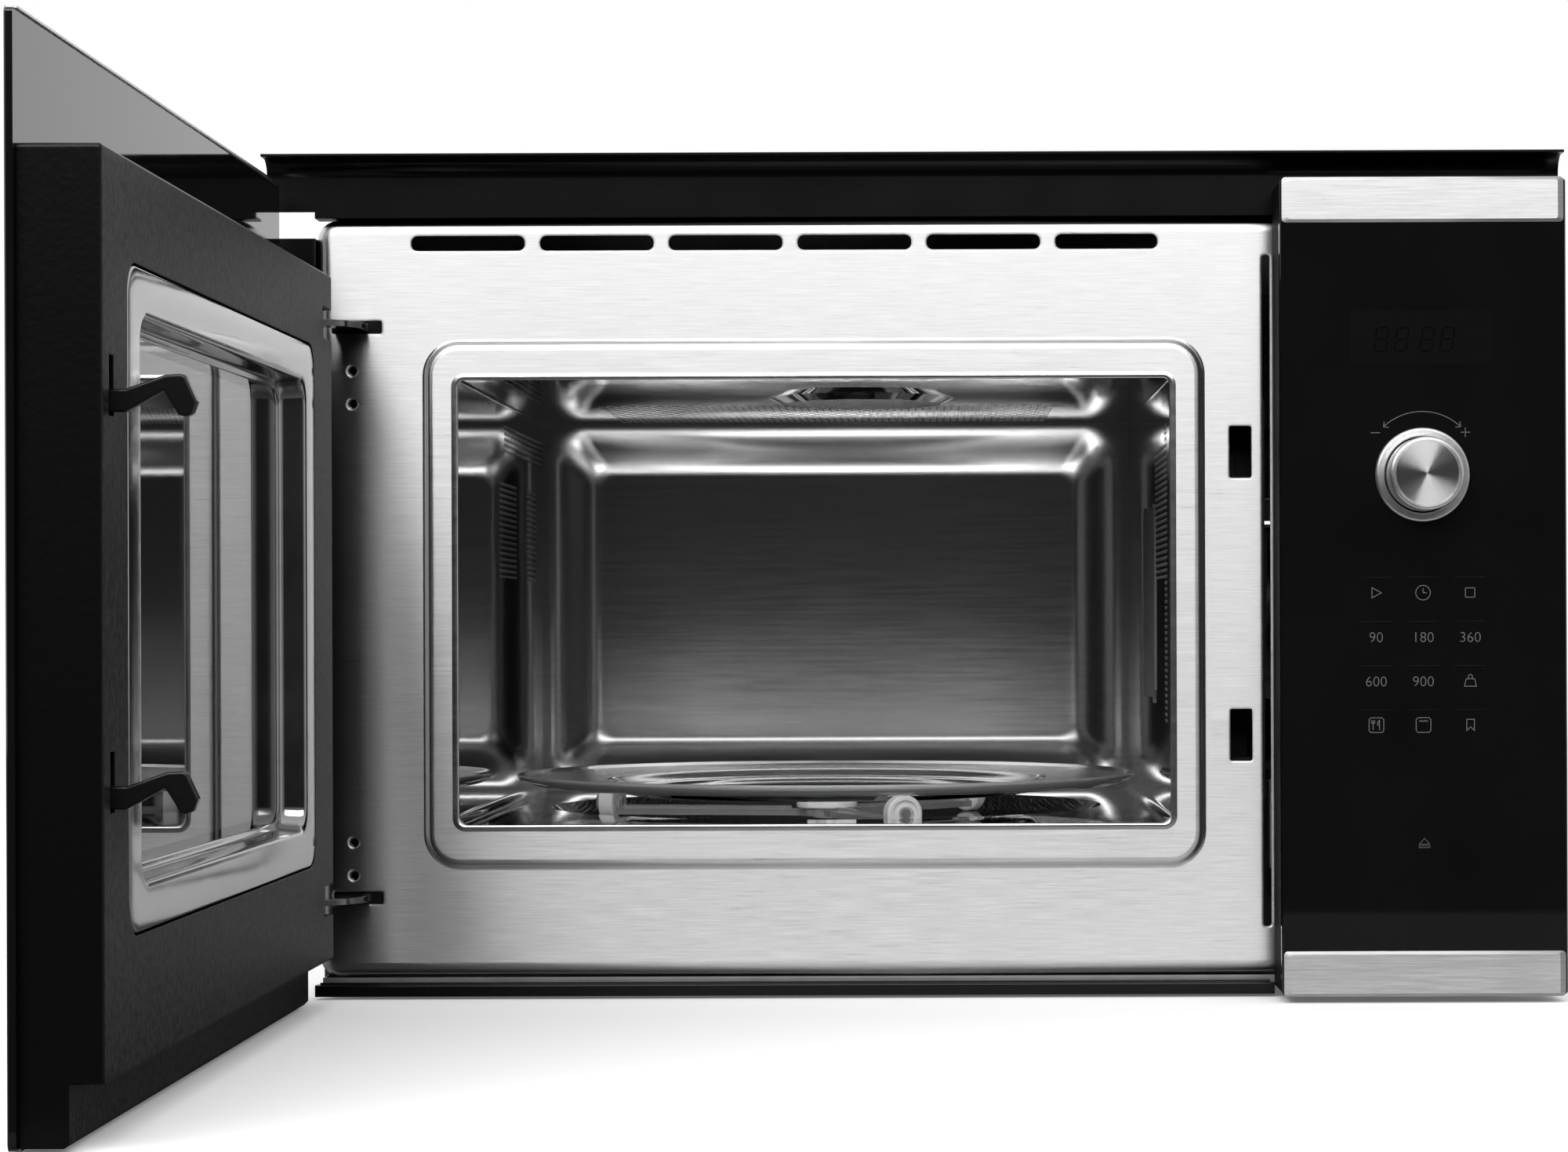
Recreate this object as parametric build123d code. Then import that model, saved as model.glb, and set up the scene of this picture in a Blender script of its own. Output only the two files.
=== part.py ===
from build123d import *
import math
import os

os.makedirs("parts", exist_ok=True)

# Built-in microwave with grill, left-hinged door, drawn with the door open.
# X runs along the front with zero on the middle of the niche, Y runs back into the
# cabinet with zero on the cabinet's front plane, Z runs up from the floor of the niche.
# All sizes are in millimetres.

# Front
front_left_x = -296.5
front_face_y = -34.5
door_width = 460.5
door_gap = 1.4
panel_width = 128.9
door_bottom_z = 1.8
door_height = 370.2
panel_bottom_z = 3.9
panel_height = 367.5
door_glass_thick = 3.0
panel_glass_thick = 4.0
glass_corner_radius = 1.5
glass_edge_round = 0.6

# Trim strips on door and panel
strip_height = 19.6
strip_proud = 0.8
strip_end_inset = 1.0
strip_wrap = 3.8
strip_bevel = 1.4
strip_side_bevel = 2.6
strip_corner = 1.8
strip_outer_inset = 1.0

# Body sheet metal
sheet = 0.8
body_half_width = 275.0
body_depth = 368.0
plate_bottom_z = 9.5
plate_height = 349.5
plate_corner_radius = 10.0
plate_bend_radius = 7.0
plate_return = 12.0
tuck = 0.2

# Pressed frame and mouth of the cavity in the face plate
opening_left_x = -209.8
opening_width = 327.9
opening_bottom_z = 79.5
opening_height = 205.2
opening_low_radius = 5.5
opening_top_radius = 1.2
mouth_return = 2.0
frame_margin_side = 13.3
frame_margin_top = 15.8
frame_margin_bottom = 17.7
frame_rise = 2.5
frame_radius = 14.0
frame_bend = 2.2

# Vent slots along the top of the face plate
vent_count = 6
vent_first_x = -230.9
vent_pitch = 59.3
vent_length = 52.3
vent_last_length = 47.0
vent_bottom_z = 344.0
vent_height = 6.9
vent_end_radius = 3.0

# Latch slots, wiring window and the gap slot beside the control panel
latch_slot_width = 10.1
latch_slot_height = 24.0
latch_slot_radius = 1.0
latch_slot_x = 150.5
gap_slot_width = 3.7
gap_slot_inset = 3.1
gap_slot_z = (32.0, 341.0)
wire_window_width = 62.0
wire_window_height = 150.0
wire_window_x = 225.0
wire_window_z = 130.0

# Cavity
cavity_depth = 346.0
cavity_seam_rise = 9.0
pan_depth = 14.0
pan_rim_inset_side = 6.0
pan_rim_inset_top = 2.8
pan_rim_inset_bottom = 3.5
pan_floor_inset_side = 24.0
pan_floor_inset_top = 25.0
pan_floor_inset_bottom = 24.5
pan_rim_radius = 18.0
pan_floor_radius = 10.0
aperture_y = (118.0, 187.0)
aperture_z = (145.0, 218.0)
cover_margin = 10.0
cover_thick = 0.6
dome_radius = 46.0
dome_depth = 3.0
dome_offset_x = 19.0
dome_y = 140.0

# Grill over the cavity
grill_width = 236.0
grill_y = (192.0, 341.0)
reflector_height = 38.0
reflector_flange = 7.0
tube_radius = 5.0
tube_lift = 13.0
tube_spacing = 66.0

# Turntable
tray_y = 180.0
tray_radius = 157.5
tray_base_radius = 103.0
tray_glass = 4.0
tray_rise = 3.7
tray_rim_height = 6.8
tray_lug_height = 2.0
recess_radius = 140.0
recess_slope = 7.0
recess_depth = 8.0
roller_radius = 8.85
roller_width = 7.7
roller_track_radius = 115.0
roller_angles = (-69.8, 50.2, 170.2)
roller_axle_radius = 2.5
running_gap = 0.05
seat_gap = 0.25
stay_gap = 0.4
stay_arm_width = 12.0
stay_thick = 3.2
stay_lift = 2.7
stay_eye_radius = 14.0
stay_ear_thick = 3.0
stay_ear_width = 9.0
hub_radius = 15.5
hub_disc_thick = 3.0
hub_stem_radius = 7.0
hub_arm_width = 5.0
hub_arm_height = 4.6
drive_shaft_radius = 3.4
tray_motor_radius = 24.5
tray_motor_height = 15.0

# Door hinge
hinge_x = -285.0
hinge_y = -28.0
hinge_pin_radius = 1.9
hinge_eye_wall = 1.3
hinge_arm_thick = 2.8
hinge_slot_height = 6.0
hinge_slot_x = (-267.6, -244.5)
hinge_arm_x = (-266.5, -251.5)
hinge_upper_inset = 20.8
hinge_lower_inset = 22.5
hinge_bracket_margin = 3.5
hinge_bracket_height = 54.0
hinge_bracket_thick = 2.0
adjust_hole_radius = 2.25
adjust_hole_near = 21.5
adjust_hole_low_near = 13.7
adjust_hole_pitch = 15.2
adjust_hole_x = -258.0

# Door
door_inner_depth = 31.0
inner_frame_left_inset = 24.9
inner_frame_right_inset = 3.0
inner_frame_bottom_z = 22.5
inner_frame_height = 305.9
inner_frame_wall = 2.4
inner_frame_edge_round = 1.2
lip_depth = 16.5
notch_width = 23.2
notch_height = 14.0
window_left_inset = 70.5
window_width = 351.0
window_bottom_z = 67.4
window_height = 226.1
window_radius = 12.0
window_gap = 0.6
window_ring_side = 20.0
window_ring_top = 16.5
window_recess = 15.0
window_taper = 3.0
window_shelf = 7.0
ledge_width = 3.0
ledge_thick = 1.6
pane_thick = 3.0
mesh_thick = 0.4

# Latch
hook_x = 148.6
hook_thick = 4.0
hook_reach = 28.5
hook_slot_width = 6.5
hook_slot_height = 20.2
hook_travel = 8.0
hook_base_z = (241.5, 111.3)
hook_slot_drop = 1.3
hook_base_height = 7.6
latch_bar_width = 9.0
latch_rear_gap = 2.0
spring_radius = 3.0
spring_length = 26.0
catch_gap = 0.4

# Top flange, side brackets and sill
flange_half_width = 296.9
flange_thick = 1.2
flange_lip = 17.0
flange_top_z = 386.7
flange_bend = 8.0
flange_wing_z = 362.0
bracket_thick = 1.2
bracket_z = (20.0, 350.0)
bracket_leg = 11.0
cabinet_screw_radius = 2.25
cabinet_screw_x = -288.0
cabinet_screw_z = (65.0, 305.0)
sill_bottom_z = 1.3
sill_height = 5.4
sill_depth = 7.0
sill_proud = 5.0

# Control panel
housing_wall = 2.2
housing_back_gap = 0.3
housing_rib_z = (44.0, 100.0, 156.0, 211.0, 328.0)
knob_x = 229.3
knob_z = 238.0
knob_radius = 16.5
knob_length = 20.0
knob_proud = 17.0
knob_travel = 13.5
knob_disc_radius = 14.0
knob_disc_depth = 0.8
knob_wall = 1.4
knob_gap = 0.8
bezel_radius = 21.1
bezel_proud = 3.0
dial_shaft_radius = 3.0
encoder_size = 26.0
encoder_depth = 9.0
display_x = (197.0, 261.0)
display_z = (288.0, 312.0)
module_depth = 7.0
board_thick = 1.6

# Outer covers and feet
cover_sheet = 0.8
casing_bottom_z = 6.0
base_z = 4.2
base_sheet = 1.0
base_rim = 9.0
foot_radius = 11.0
foot_inset_x = 40.0
foot_inset_y = 38.0
gland_x = 205.0
gland_z = 48.0
gland_bore_radius = 4.0
gland_radius = 9.0
gland_length = 14.0
screw_head_radius = 3.6
screw_head_height = 2.0
screw_radius = 1.7
cover_screw_inset = 13.0
cover_screw_low = 30.5
cover_screw_high = 29.0
cover_screw_top = 14.0
rear_bead_side = 55.0
rear_bead_low = 110.5
rear_bead_high = 99.0
rear_bead_radius = 16.0

# Electrics in the right-hand bay
bay_wall_y = 258.0
bay_wall_thick = 1.6
fan_x = 196.0
fan_z = 185.0
fan_radius = 52.0
fan_tip_gap = 2.0
fan_collar = 24.0
fan_hub_radius = 15.0
fan_blades = 5
fan_shaft_radius = 1.6
waveguide_depth = 32.0
waveguide_wall = 1.2
magnetron_y = 152.0
magnetron_z = 181.0
duct_clear = 8.8
duct_top_margin = 37.0
transformer_x = 198.0
transformer_y = (50.0, 132.0)
transformer_z = 84.0
transformer_width = 76.0
transformer_window = 52.0
transformer_leg = 18.0
transformer_foot = 10.0
capacitor_x = 192.0
capacitor_y = 172.0
capacitor_size = (56.0, 34.0, 86.0)
board_x = (-15.0, 109.0)
board_y = (37.0, 169.0)
lamp_y = 78.0
lamp_z = 236.0


# Values that follow from the sizes above
door_right_x = front_left_x + door_width
door_top_z = door_bottom_z + door_height
door_glass_back_y = front_face_y + door_glass_thick
door_inner_y = front_face_y + door_inner_depth
panel_left_x = door_right_x + door_gap
panel_right_x = panel_left_x + panel_width
gap_slot_x = panel_left_x - gap_slot_inset
panel_top_z = panel_bottom_z + panel_height
panel_back_y = front_face_y + panel_glass_thick
plate_top_z = plate_bottom_z + plate_height
opening_right_x = opening_left_x + opening_width
opening_top_z = opening_bottom_z + opening_height
opening_mid_x = opening_left_x + opening_width / 2
cavity_back_y = cavity_depth
cavity_seam_z = opening_bottom_z + cavity_seam_rise
tray_x = opening_mid_x
track_z = opening_bottom_z - recess_depth
roller_z = track_z + seat_gap + roller_radius
tray_under_z = roller_z + roller_radius + seat_gap
tray_base_z = tray_under_z - tray_rise
cavity_roof_z = opening_top_z + sheet
grill_x = (opening_mid_x - grill_width / 2, opening_mid_x + grill_width / 2)
bay_left_x = opening_right_x + sheet
bay_right_x = body_half_width - sheet - tuck - cover_sheet
base_top_z = base_z + base_sheet
hinge_upper_z = inner_frame_bottom_z + inner_frame_height - hinge_upper_inset
hinge_lower_z = inner_frame_bottom_z + hinge_lower_inset


def block(x_span, y_span, z_span):
    """A plain block between low and high corners."""
    size = [high - low for low, high in (x_span, y_span, z_span)]
    middle = [(low + high) / 2 for low, high in (x_span, y_span, z_span)]
    return Pos(*middle) * Box(*size)


def spread(span, amount):
    """The span made wider by amount at both ends."""
    return (span[0] - amount, span[1] + amount)


def around(middle, length):
    return (middle - length / 2, middle + length / 2)


def panel(x_span, y_span, z_span, radius):
    """A block whose four corners, seen from the front, are rounded."""
    profile = RectangleRounded(x_span[1] - x_span[0], z_span[1] - z_span[0], radius)
    depth = y_span[1] - y_span[0]
    place = Pos((x_span[0] + x_span[1]) / 2, y_span[1], (z_span[0] + z_span[1]) / 2)
    return place * Rot(X=90) * extrude(profile, amount=depth)


def soft_panel(x_span, y_span, z_span, radius, bend):
    """A rounded panel whose front edge is bent or rounded all the way round."""
    solid = panel(x_span, y_span, z_span, radius)
    return fillet(solid.faces().sort_by(Axis.Y)[0].edges(), bend)


def rod_y(x, z, y_span, radius):
    """A cylinder that runs front to back."""
    length = y_span[1] - y_span[0]
    return Pos(x, (y_span[0] + y_span[1]) / 2, z) * Rot(X=90) * Cylinder(radius, length)


def rod_z(x, y, z_span, radius):
    """An upright cylinder."""
    return Pos(x, y, (z_span[0] + z_span[1]) / 2) * Cylinder(radius, z_span[1] - z_span[0])


def rod_x(y, z, x_span, radius):
    """A cylinder that runs from side to side."""
    length = x_span[1] - x_span[0]
    return Pos((x_span[0] + x_span[1]) / 2, y, z) * Rot(Y=90) * Cylinder(radius, length)


def tapered_pan(x_rim, z_rim, rim_radius, x_floor, z_floor, floor_radius, y_rim, y_floor):
    """A loft from a rounded rim to a smaller rounded floor."""

    def outline(x_span, z_span, radius, y):
        plane = Plane(
            origin=((x_span[0] + x_span[1]) / 2, y, (z_span[0] + z_span[1]) / 2),
            x_dir=(1, 0, 0),
            z_dir=(0, 1, 0),
        )
        return plane * RectangleRounded(x_span[1] - x_span[0], z_span[1] - z_span[0], radius)

    return loft([outline(x_rim, z_rim, rim_radius, y_rim), outline(x_floor, z_floor, floor_radius, y_floor)])


def group(solids):
    """Several separate solids that share one node."""
    return Compound(children=list(solids))


# Face plate: one stainless pressing, rolled back round its edge

plate_x = (-body_half_width, body_half_width)
plate_z = (plate_bottom_z, plate_top_z)
mouth_x = (opening_left_x, opening_right_x)
mouth_z = (opening_bottom_z, opening_top_z)
pressed_x = (opening_left_x - frame_margin_side, opening_right_x + frame_margin_side)
pressed_z = (opening_bottom_z - frame_margin_bottom, opening_top_z + frame_margin_top)
latch_slot_centres = [
    z - hook_slot_drop + hook_slot_height / 2 for z in hook_base_z
]
hinge_arm_bottoms = (hinge_upper_z, hinge_lower_z)
adjust_hole_centres = (
    hinge_upper_z - adjust_hole_near + hinge_arm_thick,
    hinge_upper_z - adjust_hole_near - adjust_hole_pitch + hinge_arm_thick,
    hinge_lower_z + adjust_hole_low_near - hinge_bracket_thick,
    hinge_lower_z + adjust_hole_low_near + adjust_hole_pitch - hinge_bracket_thick,
)


def mouth_block(y_span, margin):
    """The cavity's section: small radii at the floor, nearly sharp corners at the roof."""
    solid = block(spread(mouth_x, margin), y_span, spread(mouth_z, margin))
    long_edges = solid.edges().filter_by(Axis.Y)
    solid = fillet(long_edges.group_by(Axis.Z)[0], opening_low_radius + margin)
    roof_edges = [
        edge for edge in solid.edges().filter_by(Axis.Y)
        if edge.center().Z > opening_top_z - opening_low_radius
    ]
    return fillet(roof_edges, opening_top_radius + margin)


def vent_spans():
    """X span of every vent slot; the last one is shorter."""
    spans = []
    for index in range(vent_count):
        low = vent_first_x + index * vent_pitch
        length = vent_last_length if index == vent_count - 1 else vent_length
        spans.append((low, low + length))
    return spans


def make_face_plate():
    outer = soft_panel(plate_x, (0, plate_return), plate_z, plate_corner_radius, plate_bend_radius)
    inner = soft_panel(
        spread(plate_x, -sheet),
        (sheet, plate_return + 1),
        spread(plate_z, -sheet),
        plate_corner_radius - sheet,
        plate_bend_radius - sheet,
    )
    plate = outer - inner
    hump = soft_panel(pressed_x, (-frame_rise, sheet), pressed_z, frame_radius, frame_bend)
    hollow = soft_panel(
        spread(pressed_x, -sheet),
        (sheet - frame_rise, sheet + 1),
        spread(pressed_z, -sheet),
        frame_radius - sheet,
        frame_bend - sheet,
    )
    plate = plate + hump - hollow
    collar = mouth_block((-frame_rise, mouth_return), sheet)
    plate = plate + collar - mouth_block((-frame_rise - 1, mouth_return + 1), 0)
    vent_z = (vent_bottom_z, vent_bottom_z + vent_height)
    for x_span in vent_spans():
        plate -= panel(x_span, (-1, sheet + 1), vent_z, vent_end_radius)
    for z in latch_slot_centres:
        plate -= panel(
            around(latch_slot_x, latch_slot_width),
            (-1, sheet + 1),
            around(z, latch_slot_height),
            latch_slot_radius,
        )
    for z in hinge_arm_bottoms:
        slot_z = around(z + hinge_arm_thick / 2, hinge_slot_height)
        plate -= panel(hinge_slot_x, (-1, sheet + 1), slot_z, latch_slot_radius)
    for z in adjust_hole_centres:
        plate -= rod_y(adjust_hole_x, z, (-1, sheet + 1), adjust_hole_radius)
    plate -= panel(around(gap_slot_x, gap_slot_width), (-1, sheet + 1), gap_slot_z, gap_slot_width * 0.4)
    plate -= panel(
        around(wire_window_x, wire_window_width),
        (-1, sheet + 1),
        around(wire_window_z, wire_window_height),
        latch_slot_radius * 4,
    )
    return plate


# Cavity: folded wrap, pressed floor and pressed rear wall, spot-welded together

dome_x = opening_mid_x + dome_offset_x


def make_cavity_wrap():
    """Left wall, roof and right wall folded from one sheet, open below."""
    wrap = mouth_block((mouth_return, cavity_back_y), sheet)
    wrap -= mouth_block((mouth_return - 1, cavity_back_y + 1), 0)
    wrap -= block(spread(mouth_x, 2), (0, cavity_back_y + 2), (0, cavity_seam_z))
    dome_outer = Cone(dome_radius - dome_depth * 2, dome_radius, dome_depth)
    dome_inner = Cone(dome_radius - dome_depth * 2 - sheet, dome_radius - sheet, dome_depth)
    wrap += Pos(dome_x, dome_y, opening_top_z - dome_depth / 2) * dome_outer
    wrap -= Pos(dome_x, dome_y, opening_top_z - dome_depth / 2 + sheet) * dome_inner
    return wrap - block((opening_right_x - 1, bay_left_x + 1), aperture_y, aperture_z)


def make_cavity_floor():
    """Pressed floor: sides turned up to the wrap, and a round recess with the rollers' track."""
    floor = mouth_block((mouth_return, cavity_back_y), sheet)
    floor -= mouth_block((mouth_return - 1, cavity_back_y + 1), 0)
    floor -= block(spread(mouth_x, 2), (0, cavity_back_y + 2), (cavity_seam_z, opening_top_z + 2))
    bowl_top = recess_radius
    bowl_low = recess_radius - recess_slope
    bowl_outer = Cone(bowl_low + sheet, bowl_top + sheet, recess_depth + sheet)
    bowl_inner = Cone(bowl_low, bowl_top, recess_depth)
    outer_mid_z = opening_bottom_z - (recess_depth + sheet) / 2
    inner_mid_z = opening_bottom_z - recess_depth / 2
    floor += Pos(tray_x, tray_y, outer_mid_z) * bowl_outer
    floor -= Pos(tray_x, tray_y, inner_mid_z) * bowl_inner
    stem_hole = hub_stem_radius + 1
    collar_z = (track_z - sheet, track_z + 2 * sheet)
    floor += rod_z(tray_x, tray_y, collar_z, stem_hole + sheet)
    return floor - rod_z(tray_x, tray_y, spread(collar_z, 1), stem_hole)


def make_cavity_back():
    rim_x = spread(mouth_x, -pan_rim_inset_side)
    rim_z = (opening_bottom_z + pan_rim_inset_bottom, opening_top_z - pan_rim_inset_top)
    floor_x = (rim_x[0] + pan_floor_inset_side, rim_x[1] - pan_floor_inset_side)
    floor_z = (rim_z[0] + pan_floor_inset_bottom, rim_z[1] - pan_floor_inset_top)
    floor_y = cavity_back_y + pan_depth
    outer = tapered_pan(
        spread(rim_x, sheet), spread(rim_z, sheet), pan_rim_radius + sheet,
        spread(floor_x, sheet), spread(floor_z, sheet), pan_floor_radius + sheet,
        cavity_back_y, floor_y + sheet,
    )
    inner = tapered_pan(
        rim_x, rim_z, pan_rim_radius, floor_x, floor_z, pan_floor_radius, cavity_back_y, floor_y
    )
    wall = mouth_block((cavity_back_y, cavity_back_y + sheet), sheet)
    mouth = panel(rim_x, (cavity_back_y - 1, cavity_back_y + sheet), rim_z, pan_rim_radius)
    return (wall - mouth) + (outer - inner)


def make_waveguide_cover():
    """Mica sheet on the right wall, clipped by two tabs at each end."""
    x_span = (opening_right_x - cover_thick, opening_right_x)
    sheet_y = spread(aperture_y, cover_margin)
    sheet_z = spread(aperture_z, cover_margin)
    cover = block(x_span, sheet_y, sheet_z)
    cover = chamfer(cover.edges().filter_by(Axis.X), cover_margin * 0.4)
    for y in (aperture_y[0], aperture_y[1]):
        for z in sheet_z:
            cover += block(x_span, around(y, 9.0), around(z, 5.0))
    return cover


# Grill: two quartz tubes carried by the ends of a reflector over the perforated roof


def make_grill_reflector():
    low = cavity_roof_z
    high = low + reflector_height
    shell = block(grill_x, grill_y, (low, high))
    shell = chamfer(shell.faces().sort_by(Axis.Z)[-1].edges(), reflector_height * 0.35)
    hollow = block(spread(grill_x, -sheet), spread(grill_y, -sheet), (low - 1, high - sheet))
    hollow = chamfer(hollow.faces().sort_by(Axis.Z)[-1].edges(), reflector_height * 0.35)
    flange = block(
        spread(grill_x, reflector_flange), spread(grill_y, reflector_flange), (low, low + sheet)
    )
    flange -= block(grill_x, grill_y, (low - 1, low + sheet + 1))
    shell = shell - hollow + flange
    for y in tube_rows():
        for x in grill_x:
            shell -= rod_x(y, tube_axis_z(), around(x, 4 * sheet), tube_radius + running_gap)
    return shell


def tube_rows():
    middle = (grill_y[0] + grill_y[1]) / 2
    return (middle - tube_spacing / 2, middle + tube_spacing / 2)


def tube_axis_z():
    return cavity_roof_z + tube_lift


def make_quartz_tubes():
    return group(
        rod_x(y, tube_axis_z(), spread(grill_x, reflector_flange), tube_radius) for y in tube_rows()
    )


# Turntable: glass tray, hub, stay with three rollers and the motor below


def make_glass_tray():
    top = tray_base_z + tray_glass
    rim_top = tray_under_z + tray_rim_height
    step = tray_base_radius + tray_rise * 1.6
    outline = [
        (0, tray_base_z),
        (tray_base_radius, tray_base_z),
        (step, tray_under_z),
        (tray_radius - 9, tray_under_z + 1.0),
        (tray_radius, rim_top - 2.4),
        (tray_radius, rim_top),
        (tray_radius - 3.4, rim_top),
        (tray_radius - 10.5, rim_top - 2.2),
        (step - 1, top + tray_rise - 0.3),
        (tray_base_radius - 2, top),
        (0, top),
    ]
    profile = make_face(Plane.XZ * Polyline(*outline, close=True))
    tray = revolve(profile, Axis.Z)
    rim_edges = tray.edges().filter_by(GeomType.CIRCLE).group_by(Axis.Z)[-1]
    tray = fillet(rim_edges.sort_by(SortBy.RADIUS)[-1], 1.5)
    for lug in range(3):
        angle = 60 + 120 * lug
        peg = Pos(hub_radius * 0.62, 0, tray_base_z - tray_lug_height / 2)
        tray += Rot(Z=angle) * peg * Cylinder(hub_arm_width / 2, tray_lug_height)
    return Pos(tray_x, tray_y, 0) * tray


shaft_low_z = track_z - sheet - tray_motor_height * 0.6


def make_drive_hub():
    """Moulded hub with three driving arms, pressed on the motor's shaft."""
    arms_top = tray_base_z - seat_gap
    disc_top = arms_top - hub_arm_height
    hub = rod_z(0, 0, (disc_top - hub_disc_thick, disc_top), hub_radius)
    hub = chamfer(hub.edges().filter_by(GeomType.CIRCLE), 0.6)
    for arm in range(3):
        rib = block((drive_shaft_radius, hub_radius - 0.6), around(0, hub_arm_width), (disc_top, arms_top))
        hub += Rot(Z=120 * arm) * rib
    hub += rod_z(0, 0, (disc_top, arms_top), drive_shaft_radius + 1.8)
    hub += rod_z(0, 0, (track_z + sheet, disc_top), hub_stem_radius)
    hub += rod_z(0, 0, (shaft_low_z, disc_top), drive_shaft_radius)
    return Pos(tray_x, tray_y, 0) * hub


def make_tray_motor():
    top = track_z - sheet - seat_gap
    body = rod_z(tray_x, tray_y, (top - tray_motor_height, top), tray_motor_radius)
    body = chamfer(body.edges().filter_by(GeomType.CIRCLE), 1.0)
    ears = panel_flat(
        around(tray_x, tray_motor_radius * 2 + 26), around(tray_y, 14), (top - 1.0, top), 6
    )
    body += ears
    for side in (-1, 1):
        body -= rod_z(tray_x + side * (tray_motor_radius + 7), tray_y, (top - 2, top + 1), 2.0)
    body += block(
        around(tray_x, 20), (tray_y + tray_motor_radius - 4, tray_y + tray_motor_radius + 10),
        (top - tray_motor_height + 2, top - 4),
    )
    body -= rod_z(tray_x, tray_y, (shaft_low_z - 0.5, top + 1), drive_shaft_radius + running_gap)
    return body


def panel_flat(x_span, y_span, z_span, radius):
    """A block whose four corners, seen from above, are rounded."""
    profile = RectangleRounded(x_span[1] - x_span[0], y_span[1] - y_span[0], radius)
    place = Pos((x_span[0] + x_span[1]) / 2, (y_span[0] + y_span[1]) / 2, z_span[0])
    return place * extrude(profile, amount=z_span[1] - z_span[0])


def make_roller_stay():
    """Flat three-armed stay round the hub's stem; an ear on each arm carries a roller's axle."""
    z_span = (track_z + stay_lift, track_z + stay_lift + stay_thick)
    inner_face = roller_track_radius - roller_width / 2 - seat_gap
    cap_start = roller_track_radius + roller_width / 2 + seat_gap
    ear_x = (inner_face - 1 - stay_ear_thick, inner_face - 1)
    arms = rod_z(0, 0, z_span, stay_eye_radius)
    for angle in roller_angles:
        arm = block((0, ear_x[1]), around(0, stay_arm_width), z_span)
        arm += block((hub_radius + 3, ear_x[0]), around(0, 2.0), (z_span[1], z_span[1] + 1.6))
        arm += block(ear_x, around(0, stay_ear_width), (z_span[0], roller_z))
        arm += rod_x(0, roller_z, ear_x, stay_ear_width / 2)
        arm += rod_x(0, roller_z, (ear_x[1], inner_face), roller_axle_radius + 1.2)
        arm += rod_x(0, roller_z, (ear_x[1], cap_start + 1), roller_axle_radius)
        arm += rod_x(0, roller_z, (cap_start, cap_start + 2), roller_axle_radius + 0.9)
        arms += Rot(Z=angle) * arm
    arms -= rod_z(0, 0, spread(z_span, 4), hub_stem_radius + stay_gap)
    return Pos(tray_x, tray_y, 0) * arms


def make_roller(angle):
    x_span = around(roller_track_radius, roller_width)
    wheel = rod_x(0, roller_z, x_span, roller_radius)
    wheel = chamfer(wheel.edges().filter_by(GeomType.CIRCLE), 0.8)
    face_groove = rod_x(0, roller_z, (x_span[1] - 1.2, x_span[1] + 1), roller_radius * 0.74)
    face_groove -= rod_x(0, roller_z, (x_span[1] - 1.2, x_span[1] + 1), roller_axle_radius + 1.6)
    wheel -= face_groove
    wheel -= rod_x(0, roller_z, spread(x_span, 1), roller_axle_radius + running_gap)
    return Pos(tray_x, tray_y, 0) * Rot(Z=angle) * wheel


# Hinges: plates behind the face plate, each with a swan-necked arm through its slot

eye_radius = hinge_pin_radius + hinge_eye_wall


def make_hinge_bracket(arm_z, direction):
    """The arm leaves at arm_z; the screwed plate runs up or down from it."""
    left, right = hinge_arm_x
    front = hinge_y - eye_radius
    back = hinge_y + eye_radius
    root_y = sheet + hinge_bracket_thick
    inner_mid = ((hinge_x + left) / 2 + 5.0, back + 4.5)
    bend_start = (hinge_x + 6.0, front)
    with BuildPart() as arm:
        with BuildSketch(Plane.XY.offset(arm_z)):
            with BuildLine():
                Line((hinge_x, front), bend_start)
                outer = TangentArc(bend_start, (right, -1.0), tangent=(1, 0))
                Line(outer @ 1, (right, root_y))
                Line((right, root_y), (left, root_y))
                Line((left, root_y), (left, -4.0))
                inner = ThreePointArc((left, -4.0), inner_mid, (hinge_x, back))
                Line(inner @ 1, (hinge_x, front))
            make_face()
            with Locations((hinge_x, hinge_y)):
                Circle(eye_radius)
        extrude(amount=hinge_arm_thick)
    arm = arm.part
    plate_x_span = (plate_x[0] + plate_bend_radius, hinge_slot_x[1] + hinge_bracket_margin)
    if direction < 0:
        plate_z_span = (arm_z + hinge_slot_height - hinge_bracket_height, arm_z + hinge_slot_height)
    else:
        plate_z_span = (arm_z - hinge_slot_height / 2, arm_z - hinge_slot_height / 2 + hinge_bracket_height)
    bracket = arm + panel(plate_x_span, (sheet, root_y), plate_z_span, 2.0)
    bracket -= rod_z(hinge_x, hinge_y, (arm_z - 1, arm_z + hinge_arm_thick + 1), hinge_pin_radius)
    for z in adjust_hole_centres:
        if plate_z_span[0] < z < plate_z_span[1]:
            bracket -= rod_y(adjust_hole_x, z, (0, root_y + 1), adjust_hole_radius * 0.75)
    return bracket


pin_length = hinge_arm_thick * 2 + 3.0


def make_hinge_pins():
    """Pins riveted into the arms: the upper points down, the lower points up."""
    upper_top = hinge_upper_z + hinge_arm_thick
    upper = rod_z(hinge_x, hinge_y, (upper_top - pin_length, upper_top), hinge_pin_radius)
    lower = rod_z(hinge_x, hinge_y, (hinge_lower_z, hinge_lower_z + pin_length), hinge_pin_radius)
    return group((upper, lower))


# Door, drawn closed and then swung open about the hinge axis

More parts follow.
